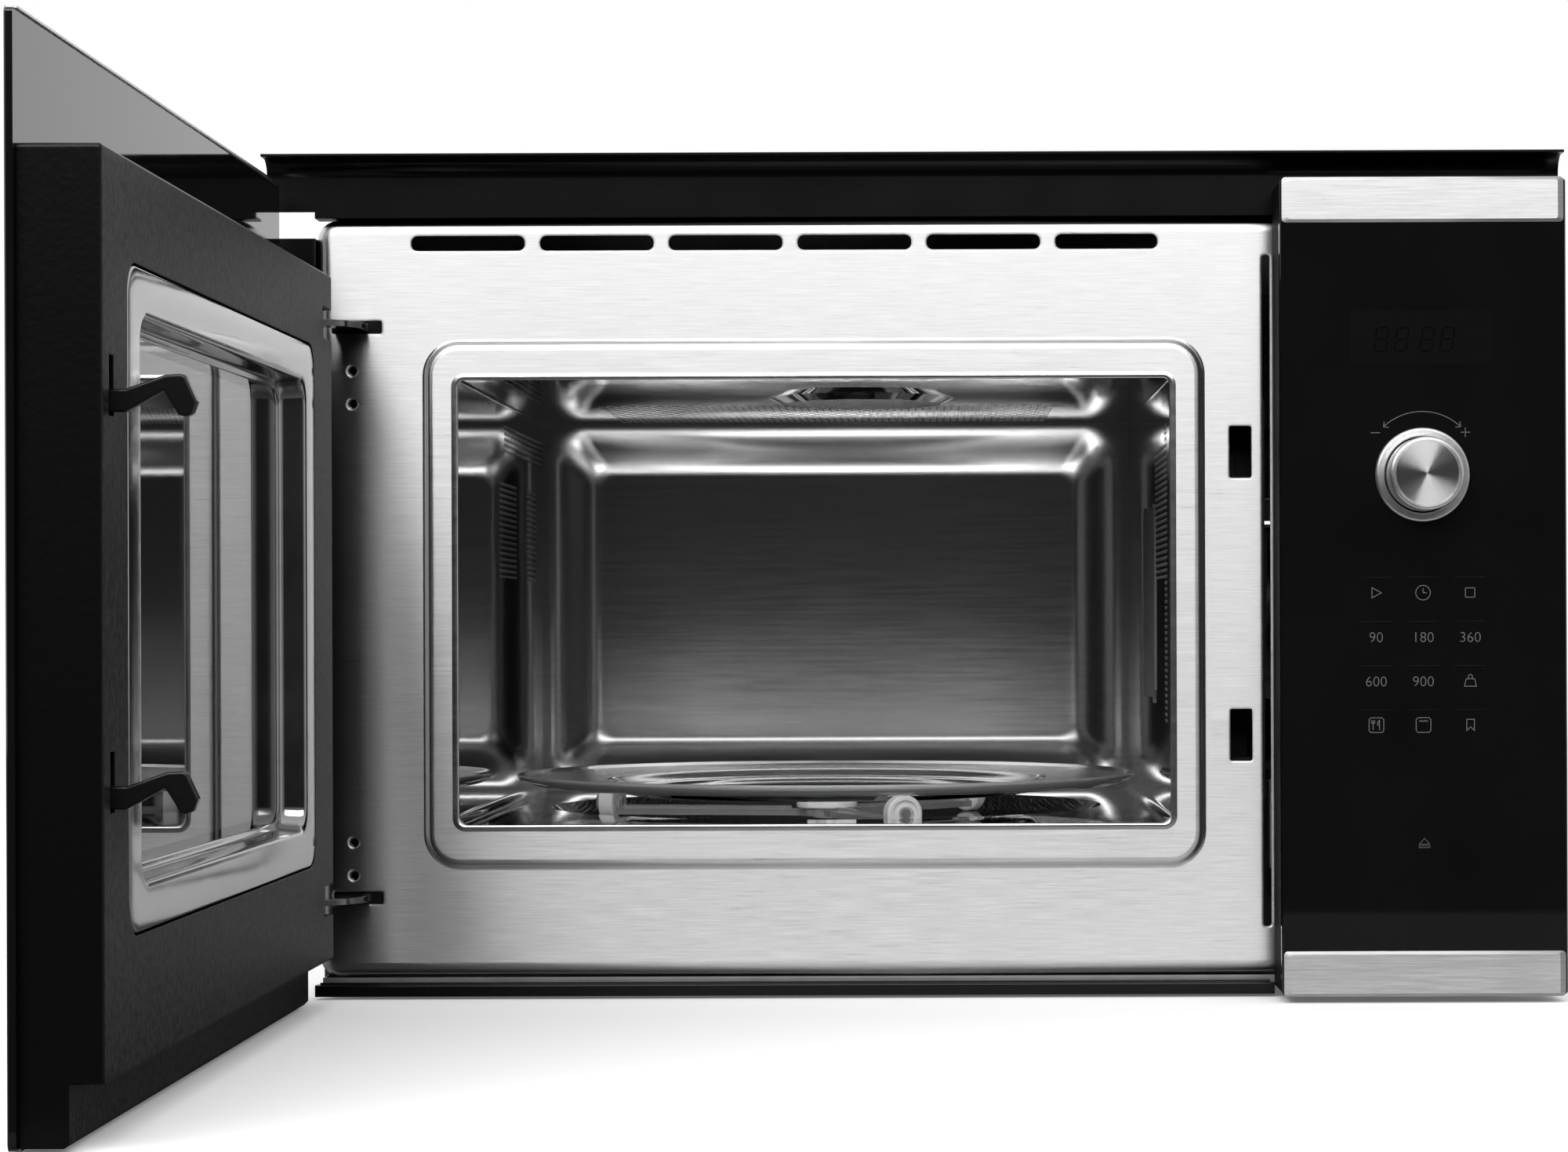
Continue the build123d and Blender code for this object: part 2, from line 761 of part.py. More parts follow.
inner_x = (front_left_x + inner_frame_left_inset, door_right_x - inner_frame_right_inset)
inner_z = (inner_frame_bottom_z, inner_frame_bottom_z + inner_frame_height)
window_x = (front_left_x + window_left_inset, front_left_x + window_left_inset + window_width)
window_z = (window_bottom_z, window_bottom_z + window_height)
hook_slot_centres = [z - hook_slot_drop + hook_slot_height / 2 for z in hook_base_z]
notch_centres = (
    hinge_upper_z + hinge_arm_thick / 2 - 3.0,
    hinge_lower_z + hinge_arm_thick / 2 + 3.0,
)
tab_thick = 2.5


def swing_open(solid):
    """Turn a closed-door solid to the open rest position."""
    return solid.rotate(Axis((hinge_x, hinge_y, 0), (0, 0, 1)), -90)


def make_door_glass():
    glass = panel(
        (front_left_x, door_right_x),
        (front_face_y, door_glass_back_y),
        (door_bottom_z, door_top_z),
        glass_corner_radius,
    )
    return chamfer(glass.faces().sort_by(Axis.Y)[0].edges(), glass_edge_round)


def make_strip(x_span, edge_z, upward):
    """A bevelled stainless strip that wraps over the edge of the glass."""
    if upward:
        face_z = (edge_z - strip_height, edge_z + strip_proud)
        return_z = (edge_z, edge_z + strip_proud)
    else:
        face_z = (edge_z - strip_proud, edge_z + strip_height)
        return_z = (edge_z - strip_proud, edge_z)
    flat_x = spread(x_span, -strip_side_bevel)
    flat_z = spread(face_z, -strip_bevel)
    face = tapered_pan(x_span, face_z, strip_corner, flat_x, flat_z, strip_corner * 0.6,
                       front_face_y, front_face_y - strip_proud)
    wrap = block(spread(x_span, -strip_corner), (front_face_y, front_face_y + strip_wrap), return_z)
    return face + wrap


latch_bar_y = (
    door_inner_y - inner_frame_wall - latch_rear_gap - latch_bar_width,
    door_inner_y - inner_frame_wall - latch_rear_gap,
)
latch_bar_z = (min(hook_base_z) - 4.0, max(hook_base_z) + hook_base_height + 2.0)
spring_y = latch_bar_y[1] - spring_radius


def make_latch_guides():
    """Ribs that guide the latch bar, its lower stop and the post for its spring."""
    wall = door_inner_y - inner_frame_wall / 2
    guides = Part()
    for z in (latch_bar_z[0] + 30, sum(latch_bar_z) / 2, latch_bar_z[1] - 26):
        for side in (-1, 1):
            near = hook_x + side * (hook_thick / 2 + seat_gap)
            x_span = sorted((near, near + side * 1.8))
            guides += block(x_span, (latch_bar_y[0] - 1, wall), around(z, 18))
    stop_y = (latch_bar_y[0], spring_y - spring_radius - 0.3)
    stop_z = (latch_bar_z[0] - seat_gap - 3.0, latch_bar_z[0] - seat_gap)
    guides += block(around(hook_x, 9), stop_y, stop_z)
    for side in (-1, 1):
        guides += block(around(hook_x + side * 5.4, 1.8), (stop_y[0], wall), spread(stop_z, 3))
    post_top = latch_bar_z[0] - 2 * seat_gap - spring_length
    guides += block(around(hook_x, 8), (spring_y - spring_radius, wall), (post_top - 3.0, post_top))
    return guides


def make_door_frame():
    """Moulded inner frame: open behind the glass, ribbed, with a shallower lip below."""
    back = door_glass_back_y
    frame = panel(inner_x, (back, door_inner_y), inner_z, 1.5)
    frame = fillet(frame.faces().sort_by(Axis.Y)[-1].edges(), inner_frame_edge_round)
    hollow = panel(
        spread(inner_x, -inner_frame_wall),
        (back - 1, door_inner_y - inner_frame_wall),
        spread(inner_z, -inner_frame_wall),
        1.0,
    )
    frame -= hollow
    window_wall_x = spread(window_x, window_gap + inner_frame_wall)
    window_wall_z = spread(window_z, window_gap + inner_frame_wall)
    frame += panel(window_wall_x, (back, door_inner_y - inner_frame_edge_round), window_wall_z,
                   window_radius + inner_frame_wall)
    frame -= panel(spread(window_x, window_gap), (back - 1, door_inner_y + 1),
                   spread(window_z, window_gap), window_radius)
    ledge_y = (door_inner_y - window_recess - ledge_thick, door_inner_y - window_recess)
    frame += panel(spread(window_x, window_gap + 1), ledge_y, spread(window_z, window_gap + 1), window_radius)
    frame -= panel(spread(window_x, -ledge_width), spread(ledge_y, 1), spread(window_z, -ledge_width),
                   window_radius - ledge_width)
    lip_z = (door_bottom_z, inner_frame_bottom_z + inner_frame_wall)
    lip = block(inner_x, (back, back + lip_depth), lip_z)
    lip = chamfer(lip.faces().sort_by(Axis.Z)[0].edges().sort_by(Axis.Y)[-1], 1.8)
    lip_hollow = block(
        spread(inner_x, -inner_frame_wall),
        (back - 1, back + lip_depth - inner_frame_wall),
        (door_bottom_z + inner_frame_wall, inner_frame_bottom_z),
    )
    frame += lip - lip_hollow
    rib_depth = (back + 1.0, door_inner_y - 1)
    for z in (inner_z[0] + 22, inner_z[1] - 18):
        frame += block((window_wall_x[0], window_wall_x[1]), rib_depth, around(z, 1.6))
    for x in (window_wall_x[0] - 12, window_wall_x[1] + 6):
        frame += block(around(x, 1.6), rib_depth, (inner_z[0] + 1, inner_z[1] - 1))
    frame += make_latch_guides()
    for z in hook_slot_centres:
        frame -= block(
            around(hook_x, hook_slot_width), (door_inner_y - inner_frame_wall - 1, door_inner_y + 1),
            around(z, hook_slot_height),
        )
    for z in notch_centres:
        frame -= block(
            (inner_x[0] - 1, inner_x[0] + notch_width), (back - 1, door_inner_y + 1),
            around(z, notch_height),
        )
    return frame


def make_window_frame():
    """Pressed steel: flat ring, tapered recess wall and a shelf under the pane."""
    face_y = door_inner_y
    shelf_y = face_y - window_recess
    ring = panel(window_x, (face_y - sheet, face_y), window_z, window_radius - window_gap)
    mouth_window_x = (window_x[0] + window_ring_side, window_x[1] - window_ring_side * 0.8)
    mouth_window_z = spread(window_z, -window_ring_top)
    deep_x = spread(mouth_window_x, -window_taper)
    deep_z = spread(mouth_window_z, -window_taper)
    radius = window_radius
    outer = tapered_pan(
        spread(mouth_window_x, sheet), spread(mouth_window_z, sheet), radius + sheet,
        spread(deep_x, sheet), spread(deep_z, sheet), radius - window_taper + sheet,
        face_y, shelf_y - sheet,
    )
    inner = tapered_pan(
        mouth_window_x, mouth_window_z, radius, deep_x, deep_z, radius - window_taper,
        face_y, shelf_y,
    )
    shelf_hole = panel(
        spread(deep_x, -window_shelf), (shelf_y - sheet - 1, shelf_y + 1),
        spread(deep_z, -window_shelf), radius * 0.5,
    )
    ring -= panel(mouth_window_x, (face_y - sheet - 1, face_y + 1), mouth_window_z, radius)
    choke = panel(window_x, (shelf_y, face_y - sheet), window_z, window_radius - window_gap)
    choke -= panel(
        spread(window_x, -sheet), (shelf_y - 1, face_y), spread(window_z, -sheet),
        window_radius - window_gap - sheet,
    )
    return ring + (outer - inner) - shelf_hole + choke


pane_x = (
    window_x[0] + window_ring_side + window_taper + 0.6,
    window_x[1] - window_ring_side * 0.8 - window_taper - 0.6,
)
pane_z = spread(window_z, -window_ring_top - window_taper - 0.6)


def make_window_pane():
    shelf_y = door_inner_y - window_recess
    return panel(pane_x, (shelf_y, shelf_y + pane_thick), pane_z, window_radius * 0.6)


def make_mesh_screen():
    """Perforated sheet spot-welded to the shelf, seen through the pane."""
    low = door_inner_y - window_recess - sheet - mesh_thick
    return panel(pane_x, (low, low + mesh_thick), pane_z, window_radius * 0.6)


def make_hinge_plate(arm_z, above):
    """Steel plate in the door frame whose tab carries the eye round the hinge pin."""
    if above:
        tab_z = (arm_z + hinge_arm_thick + seat_gap, arm_z + hinge_arm_thick + seat_gap + tab_thick)
    else:
        tab_z = (arm_z - seat_gap - tab_thick, arm_z - seat_gap)
    wall_x = inner_x[0] + inner_frame_wall
    plate_top = 26.0
    tab = block((hinge_x, wall_x + 4), around(hinge_y + 0.4, eye_radius * 1.6), tab_z)
    tab += rod_z(hinge_x, hinge_y, tab_z, eye_radius)
    if above:
        leg_z = (tab_z[0], tab_z[0] + plate_top)
    else:
        leg_z = (tab_z[1] - plate_top, tab_z[1])
    leg_x = (wall_x + seat_gap, wall_x + seat_gap + 2.0)
    leg = block(leg_x, (hinge_y - eye_radius * 0.6, hinge_y + 16), leg_z)
    plate = tab + leg
    return plate - rod_z(hinge_x, hinge_y, spread(tab_z, 1), hinge_pin_radius + running_gap)


def hook_outline(base_z):
    """Beaked hook seen from the side: Y out of the door, Z up."""
    root = door_inner_y
    top = base_z + hook_base_height
    points = [
        (root - 9.0, base_z),
        (root + 5.0, base_z),
        (root + hook_reach * 0.617, base_z + hook_base_height * 0.92),
        (root + hook_reach * 0.79, base_z - 1.0),
        (root + hook_reach * 0.86, base_z - 1.6),
        (root + hook_reach * 0.95, base_z - 0.5),
        (root + hook_reach, base_z + 3.4),
        (root + hook_reach * 0.865, base_z + 11.8),
        (root + hook_reach * 0.82, base_z + 12.4),
        (root + hook_reach * 0.64, base_z + 12.2),
        (root + 5.0, top),
        (root - 9.0, top),
    ]
    return points


def make_latch_bar():
    """Sprung bar in the free side of the door; both hooks are moulded on it."""
    x_span = around(hook_x, hook_thick)
    bar = block(x_span, latch_bar_y, latch_bar_z)
    for base_z in hook_base_z:
        plane = Plane(origin=(x_span[0], 0, 0), x_dir=(0, 1, 0), z_dir=(1, 0, 0))
        face = make_face(plane * Polyline(*hook_outline(base_z), close=True))
        hook = extrude(face, amount=hook_thick)
        edges = hook.faces().sort_by(Axis.X)[-1].edges()
        hook = chamfer(edges, 0.5)
        bar += hook
    return bar


def make_latch_spring():
    """Tension spring that pulls the bar down onto its stop."""
    high = latch_bar_z[0] - seat_gap
    coil = rod_z(hook_x, spring_y, (high - spring_length, high), spring_radius)
    return coil - rod_z(hook_x, spring_y, (high - spring_length - 1, high + 1), spring_radius - 0.8)


# Control panel


def make_control_glass():
    glass = panel(
        (panel_left_x, panel_right_x),
        (front_face_y, panel_back_y),
        (panel_bottom_z, panel_top_z),
        glass_corner_radius,
    )
    glass = chamfer(glass.faces().sort_by(Axis.Y)[0].edges(), glass_edge_round)
    return glass - rod_y(knob_x, knob_z, (front_face_y - 1, panel_back_y + 1), knob_radius + knob_gap)


def make_control_housing():
    left = panel_left_x
    right = panel_right_x
    z_span = spread((panel_bottom_z, panel_top_z), -0.4)
    y_span = (panel_back_y, -housing_back_gap)
    shell = panel((left, right), y_span, z_span, glass_corner_radius)
    hollow = panel(
        (left + housing_wall, right - housing_wall),
        (panel_back_y + housing_wall, 1),
        spread(z_span, -housing_wall),
        1.0,
    )
    shell -= hollow
    front = (panel_back_y - 1, panel_back_y + housing_wall + 1)
    shell -= block(spread(display_x, -2), front, spread(display_z, -2))
    well = rod_y(knob_x, knob_z, (panel_back_y, panel_back_y + 9), knob_radius + knob_gap + housing_wall)
    shell += well
    shell -= rod_y(knob_x, knob_z, (panel_back_y - 1, 0), knob_radius + knob_gap)
    for z in housing_rib_z:
        shell += block((left + 1, right - 1), (panel_back_y + 1, panel_back_y + 12), around(z, 1.8))
    shell -= block((left - 1, right + 1), (-flange_thick - housing_back_gap, 1), (plate_top_z - 0.5, z_span[1] + 1))
    return shell


def make_knob_bezel():
    y_span = (front_face_y - bezel_proud, front_face_y)
    ring = rod_y(knob_x, knob_z, y_span, bezel_radius)
    ring = fillet(ring.faces().sort_by(Axis.Y)[0].edges(), 1.2)
    ring -= rod_y(knob_x, knob_z, spread(y_span, 1), knob_radius + knob_gap)
    return chamfer(ring.faces().sort_by(Axis.Y)[0].edges().sort_by(SortBy.RADIUS)[0], 0.5)


knob_front_y = front_face_y - knob_proud


def make_knob_rim():
    y_span = (knob_front_y, knob_front_y + knob_length)
    rim = rod_y(knob_x, knob_z, y_span, knob_radius)
    rim = fillet(rim.faces().sort_by(Axis.Y)[0].edges(), 1.5)
    rim -= rod_y(knob_x, knob_z, (knob_front_y - 1, knob_front_y + knob_disc_depth), knob_disc_radius)
    cup = (knob_front_y + knob_disc_depth + knob_wall, knob_front_y + knob_length + 1)
    rim -= rod_y(knob_x, knob_z, cup, knob_radius - knob_wall)
    boss = (cup[0] - 0.5, knob_front_y + knob_length)
    rim += rod_y(knob_x, knob_z, boss, dial_shaft_radius + 2.4)
    for rib in range(6):
        web = block((dial_shaft_radius + 1.5, knob_radius - knob_wall / 2), (cup[0] - 0.5, cup[0] + 9), (-0.6, 0.6))
        rim += Pos(knob_x, 0, knob_z) * Rot(Y=60 * rib) * web
    rim -= rod_y(knob_x, knob_z, (cup[0], cup[1] + 1), dial_shaft_radius + running_gap)
    return rim


def make_knob_disc():
    y_span = (knob_front_y, knob_front_y + knob_disc_depth)
    return rod_y(knob_x, knob_z, y_span, knob_disc_radius)


encoder_back_y = -6.0


def make_dial_shaft():
    tip = knob_front_y + knob_disc_depth + knob_wall + knob_travel + seat_gap
    return rod_y(knob_x, knob_z, (tip, encoder_back_y - 2), dial_shaft_radius)


def make_encoder():
    y_span = (encoder_back_y - encoder_depth, encoder_back_y)
    body = panel(around(knob_x, encoder_size), y_span, around(knob_z, encoder_size), 3)
    body = chamfer(body.faces().sort_by(Axis.Y)[0].edges(), 0.8)
    return body - rod_y(knob_x, knob_z, (y_span[0] - 1, encoder_back_y - 1.5), dial_shaft_radius + running_gap)


def make_control_board():
    """Board behind the encoder, screwed to the housing by its edges."""
    left = panel_left_x + housing_wall
    right = panel_right_x - housing_wall
    y_span = (encoder_back_y, encoder_back_y + board_thick)
    board = block((left + seat_gap, right - seat_gap), y_span, (knob_z - 60, display_z[1] + 30))
    for x, z in ((left + 20, knob_z - 42), (right - 24, knob_z - 38), (left + 24, knob_z + 38)):
        board += block(around(x, 18), (encoder_back_y - 6, encoder_back_y), around(z, 12))
    return board


def make_display_module():
    low = panel_back_y + seat_gap
    body = block(spread(display_x, -3), (low, low + module_depth), spread(display_z, -3))
    tail = block(spread(display_x, -20), (low + module_depth, encoder_back_y), spread(display_z, -8))
    return body + tail


# Flange, brackets and sill that close the gaps round the niche


def make_top_flange():
    """Black sheet over the body: rear leg, upright wall, bend and forward lip."""
    low = plate_top_z
    top = flange_top_z
    t = flange_thick
    with BuildPart() as flange:
        with BuildSketch(Plane.YZ.offset(-flange_half_width)):
            with BuildLine():
                Polyline(
                    (plate_return - 1, low),
                    (-t, low),
                    (-t, top - t - flange_bend),
                )
                bend = ThreePointArc(
                    (-t, top - t - flange_bend),
                    (-t - flange_bend * 0.293, top - t - flange_bend * 0.293),
                    (-t - flange_bend, top - t),
                )
                Polyline(
                    bend @ 1,
                    (-flange_lip, top - t),
                    (-flange_lip, top),
                    (-t - flange_bend, top),
                )
                back = ThreePointArc(
                    (-t - flange_bend, top),
                    (-(t + flange_bend) * 0.293, top - (t + flange_bend) * 0.293),
                    (0, top - t - flange_bend),
                )
                Polyline(back @ 1, (0, low + t), (plate_return - 1, low + t), (plate_return - 1, low))
            make_face()
        extrude(amount=2 * flange_half_width)
    flange = flange.part
    for side in (-1, 1):
        wing_x = sorted((side * body_half_width, side * (flange_half_width + 1)))
        flange -= block(wing_x, (-t - 1, plate_return), (low - 1, flange_wing_z))
    return flange


def make_side_bracket():
    """Angle on the hinge side: its front leg is screwed to the edge of the cabinet's side."""
    front_x = (-flange_half_width, -body_half_width)
    leg_x = (-body_half_width - bracket_thick, -body_half_width)
    bracket = block(front_x, (0, bracket_thick), bracket_z)
    bracket += block(leg_x, (0, bracket_leg), bracket_z)
    bend_edge = bracket.edges().filter_by(Axis.Z).sort_by(
        lambda edge: (edge.center().X + body_half_width) ** 2 + edge.center().Y ** 2
    )[0]
    bracket = fillet(bend_edge, bracket_thick * 0.9)
    for z in cabinet_screw_z:
        bracket -= rod_y(cabinet_screw_x, z, (-1, bracket_thick + 1), cabinet_screw_radius)
    return bracket


def make_sill():
    x_span = (-body_half_width - 0.5, panel_left_x - 0.4)
    y_span = (-sill_proud, sill_depth - sill_proud)
    z_span = (sill_bottom_z, sill_bottom_z + sill_height)
    sill = block(x_span, y_span, z_span)
    sill = fillet(sill.edges().filter_by(Axis.X).group_by(Axis.Y)[0], 0.8)
    upstand = block(spread(x_span, -2), (-sill_proud + 2.4, -sill_proud + 3.6), (z_span[1] - 1, z_span[1] + 1.0))
    return sill + upstand


# Interlock bracket, switches and door opener behind the latch slots

interlock_x = (latch_slot_x - 10.5, latch_slot_x + 11.0)
interlock_back_y = 29.0
interlock_wall = 4.0
interlock_flange = 2.4
interlock_clear = 14.0
catch_y = (8.0, 17.0)
switch_size = (10.3, 16.0, 28.0)


def make_interlock_bracket():
    """Wall beside the hooks' path with a front flange, a catch under each beak and webs."""
    z_span = (latch_slot_centres[1] - 24, latch_slot_centres[0] + 24)
    wall_x = (interlock_x[1] - interlock_wall, interlock_x[1])
    across = (interlock_x[0], wall_x[0] + 1)
    bracket = block(wall_x, (sheet, interlock_back_y), z_span)
    flange_z = (
        (z_span[0], latch_slot_centres[1] - interlock_clear),
        (latch_slot_centres[1] + interlock_clear, latch_slot_centres[0] - interlock_clear),
        (latch_slot_centres[0] + interlock_clear, z_span[1]),
    )
    for z_part in flange_z:
        bracket += block(across, (sheet, sheet + interlock_flange), z_part)
    for z in latch_slot_centres:
        for side in (-1, 1):
            web_z = around(z + side * (interlock_clear + 1.5), 2.0)
            bracket += block(across, (interlock_back_y - 7.0, interlock_back_y), web_z)
    for z in hook_base_z:
        ledge_z = (z - 5.5, z - 1.6 - catch_gap)
        bracket += block((latch_slot_x - 5.0, wall_x[0] + 1), catch_y, ledge_z)
    return bracket


def make_door_switches():
    width, depth, height = switch_size
    places = (
        (latch_slot_x - width / 2 - 0.15, latch_slot_centres[0]),
        (latch_slot_x + width / 2 + 0.15, latch_slot_centres[0]),
        (latch_slot_x, latch_slot_centres[1]),
    )
    switches = []
    for x, z in places:
        body = block(around(x, width), (interlock_back_y + 0.2, interlock_back_y + 0.2 + depth), around(z, height + 8))
        tails_y = (interlock_back_y + depth, interlock_back_y + depth + 7)
        for step in (-9, 0, 9):
            body += block(around(x, 0.8), tails_y, around(z + step, 4.8))
        switches.append(body)
    return group(switches)


opener_x = interlock_x[1] + 16.0
opener_y = 20.0
opener_size = 26.0
opener_z = (58.0, 98.0)
plunger_radius = 4.5
opener_travel = 8.0


def make_door_opener():
    """Solenoid on a foot that stands on the base plate."""
    coil = rod_z(opener_x, opener_y, spread(opener_z, -4), opener_size / 2 - 3)
    frame = block(around(opener_x, opener_size), around(opener_y, 18), opener_z)
    frame -= block(around(opener_x, opener_size - 5), around(opener_y, 20), spread(opener_z, -2.5))
    foot = block(around(opener_x, 14), around(opener_y, 14), (base_top_z, opener_z[0]))
    base = block(around(opener_x, opener_size), around(opener_y, 24), (base_top_z, base_top_z + 2))
    solid = coil + frame + foot + base
    solid += rod_z(opener_x, opener_y, (opener_z[0], opener_z[1]), 7.5)
    return solid - rod_z(opener_x, opener_y, (opener_z[0] + 8, opener_z[1] + 1), plunger_radius + running_gap * 2)


def make_opener_plunger():
    low = opener_z[0] + 8 + seat_gap
    rod = rod_z(opener_x, opener_y, (low, opener_z[1] + 6), plunger_radius)
    head = rod_z(opener_x, opener_y, (opener_z[1] + 4, opener_z[1] + 7), plunger_radius + 2.5)
    return rod + head


# Covers, base plate and feet


def make_outer_casing():
    """One sheet wrapped over both sides and the top, tucked into the face plate's roll."""
    outer_x = spread((-body_half_width, body_half_width), -sheet - tuck)
    top = plate_top_z - sheet - tuck
    y_span = (plate_bend_radius + tuck, body_depth)
    wrap = block(outer_x, y_span, (casing_bottom_z, top))
    wrap = fillet(wrap.edges().filter_by(Axis.Y).group_by(Axis.Z)[-1], plate_corner_radius)
    core = block(spread(outer_x, -cover_sheet), spread(y_span, 1), (casing_bottom_z - 1, top - cover_sheet))
    core = fillet(core.edges().filter_by(Axis.Y).group_by(Axis.Z)[-1], plate_corner_radius - cover_sheet)
    wrap -= core
    corner_z = (casing_bottom_z - 1, plate_bottom_z + plate_corner_radius + tuck)
    wrap -= block(spread(outer_x, 1), (0, plate_return + tuck), corner_z)
    for side in (-1, 1):
        x_span = sorted((side * (body_half_width - 5), side * (body_half_width + 5)))
        for row in range(2):
            for index in range(5):
                y = body_depth - 60 + index * 9
                z = 120 + row * 90
                wrap -= block(x_span, around(y, 4.4), around(z, 60))
    return wrap


def make_rear_cover():
    """Flanged sheet that closes the back, with louvres over the fan and the gland hole."""
    x_span = spread((-body_half_width, body_half_width), -sheet - 2 * tuck - cover_sheet)
    z_span = (base_top_z + 0.2, plate_top_z - sheet - 2 * tuck - cover_sheet)
    y_span = (body_depth - 10, body_depth)
    radius = plate_corner_radius - cover_sheet
    cover = panel(x_span, y_span, z_span, radius)
    cover -= panel(
        spread(x_span, -cover_sheet), (y_span[0] - 1, y_span[1] - cover_sheet),
        spread(z_span, -cover_sheet), radius - cover_sheet,
    )
    for row in range(8):
        z = fan_z - 42 + row * 12
        half = math.sqrt(fan_radius ** 2 - (z - fan_z) ** 2)
        cover -= panel((fan_x - half, fan_x + half), (body_depth - 3, body_depth + 1), around(z, 5.0), 2.4)
    cover -= rod_y(gland_x, gland_z, (body_depth - 3, body_depth + 1), gland_radius - 2)
    bead_x = (-body_half_width + rear_bead_side, fan_x - 2 * fan_radius - fan_tip_gap)
    bead_z = (plate_bottom_z + rear_bead_low, plate_top_z - rear_bead_high)
    inside_x = spread(bead_x, -base_sheet)
    inside_z = spread(bead_z, -base_sheet)
    inside_radius = rear_bead_radius - base_sheet
    bead = panel(bead_x, (body_depth - 1, body_depth + 1.2), bead_z, rear_bead_radius)
    bead -= panel(inside_x, (body_depth - 2, body_depth + 0.4), inside_z, inside_radius)
    hole = panel(inside_x, (body_depth - 2, body_depth), inside_z, inside_radius)
    return cover - hole + bead


def make_base_plate():
    x_span = spread((-body_half_width, body_half_width), -sheet - 2 * tuck - cover_sheet)
    y_span = (sill_depth - sill_proud, body_depth - cover_sheet - 0.4)
    pan = block(x_span, y_span, (base_z, base_z + base_rim))
    pan -= block(spread(x_span, -base_sheet), spread(y_span, -base_sheet), (base_top_z, base_z + base_rim + 1))
    pan -= block(spread(x_span, 1), (y_span[1] - 12, y_span[1] + 1), (base_top_z, base_z + base_rim + 1))
    pan -= block(spread(x_span, 1), (0, plate_return + tuck), (plate_bottom_z, base_z + base_rim + 1))
    for x in (-190, -100, 10, 100):
        bead = panel_flat(around(x, 16), (60, 300), (base_top_z, base_top_z + 1.5), 7.9)
        bead -= panel_flat(around(x, 13), (61.5, 298.5), (base_z - 1, base_top_z + 0.6), 6.4)
        gap = panel_flat(around(x, 13), (61.5, 298.5), (base_z - 1, base_top_z), 6.4)
        pan = pan - gap + bead
    for index in range(9):
        pan -= panel_flat((206, 256), around(150 + index * 9, 4.6), (base_z - 1, base_top_z + 1), 2.2)
    return pan


def foot_places():
    xs = (-body_half_width + foot_inset_x, body_half_width - foot_inset_x)
    ys = (foot_inset_y, body_depth - foot_inset_y)
    return [(x, y) for x in xs for y in ys]


def make_feet():
    feet = []
    for x, y in foot_places():
        foot = Pos(x, y, base_z / 2) * Cone(foot_radius - 1.5, foot_radius, base_z)
        feet.append(foot)
    return group(feet)


def make_cable_gland():
    """Grommet in the rear cover; its bore takes the mains cable."""
    outer = rod_y(gland_x, gland_z, (body_depth, body_depth + 3.2), gland_radius)
    outer = chamfer(outer.faces().sort_by(Axis.Y)[-1].edges(), 1.0)
    neck = rod_y(gland_x, gland_z, (body_depth - cover_sheet, body_depth), gland_radius - 2)
    inner = rod_y(gland_x, gland_z, (body_depth - gland_length, body_depth - cover_sheet), gland_radius)
    bore = rod_y(gland_x, gland_z, (body_depth - gland_length - 1, body_depth + 4), gland_bore_radius)
    return outer + neck + inner - bore


def make_cover_screws():
    side = body_half_width - cover_screw_inset
    low = plate_bottom_z + cover_screw_low
    high = plate_top_z - cover_screw_high
    places = [(-side, low), (-side, high), (side, high), (side, low)]
    places += [(0, plate_top_z - cover_screw_top), (0, base_top_z + cover_screw_top)]
    screws = []
    for x, z in places:
        head = rod_y(x, z, (body_depth, body_depth + screw_head_height), screw_head_radius)
        screws.append(chamfer(head.faces().sort_by(Axis.Y)[-1].edges(), 0.8))
    return group(screws)


# Electrics in the bay to the right of the cavity


def make_waveguide():
    y_span = spread(aperture_y, 2.0)
    z_span = spread(aperture_z, 2.0)
    x_span = (bay_left_x, bay_left_x + waveguide_depth)
    box = block(x_span, spread(y_span, waveguide_wall), spread(z_span, waveguide_wall))
    box -= block((x_span[0] - 1, x_span[1] - waveguide_wall), y_span, z_span)
    flange = block((x_span[0], x_span[0] + waveguide_wall), spread(y_span, 9), spread(z_span, 9))
    flange -= block((x_span[0] - 1, x_span[0] + 2 * waveguide_wall), y_span, z_span)
    box += flange
    return box - rod_x(magnetron_y, magnetron_z, (x_span[1] - 3, x_span[1] + 1), 9.0)


def make_magnetron():
    """Yoke frame round a finned anode, antenna into the waveguide, filter box behind."""
    start = bay_left_x + waveguide_depth
    antenna = rod_x(magnetron_y, magnetron_z, (start - 24, start + 4), 7.2)
    antenna = chamfer(antenna.faces().sort_by(Axis.X)[0].edges(), 2.4)
    yoke = block((start, start + 52), around(magnetron_y, 92), around(magnetron_z, 78))
    yoke -= block((start + 1.5, start + 50.5), around(magnetron_y, 94), around(magnetron_z, 75))
    anode = rod_x(magnetron_y, magnetron_z, (start + 1, start + 51), 20)
    tube = antenna + yoke + anode
    for index in range(7):
        x = start + 13 + index * 4.4
        tube += block(around(x, 0.8), around(magnetron_y, 84), around(magnetron_z, 76))
    for x in (start + 7, start + 45):
        tube += rod_x(magnetron_y, magnetron_z, around(x, 10), 27)
    filter_box = block((start + 52, start + 88), around(magnetron_y, 56), around(magnetron_z, 60))
    filter_box = fillet(filter_box.edges().filter_by(Axis.X), 4)
    plug = block((start + 60, start + 80), (magnetron_y + 27, magnetron_y + 40), around(magnetron_z, 20))
    return tube + filter_box + plug


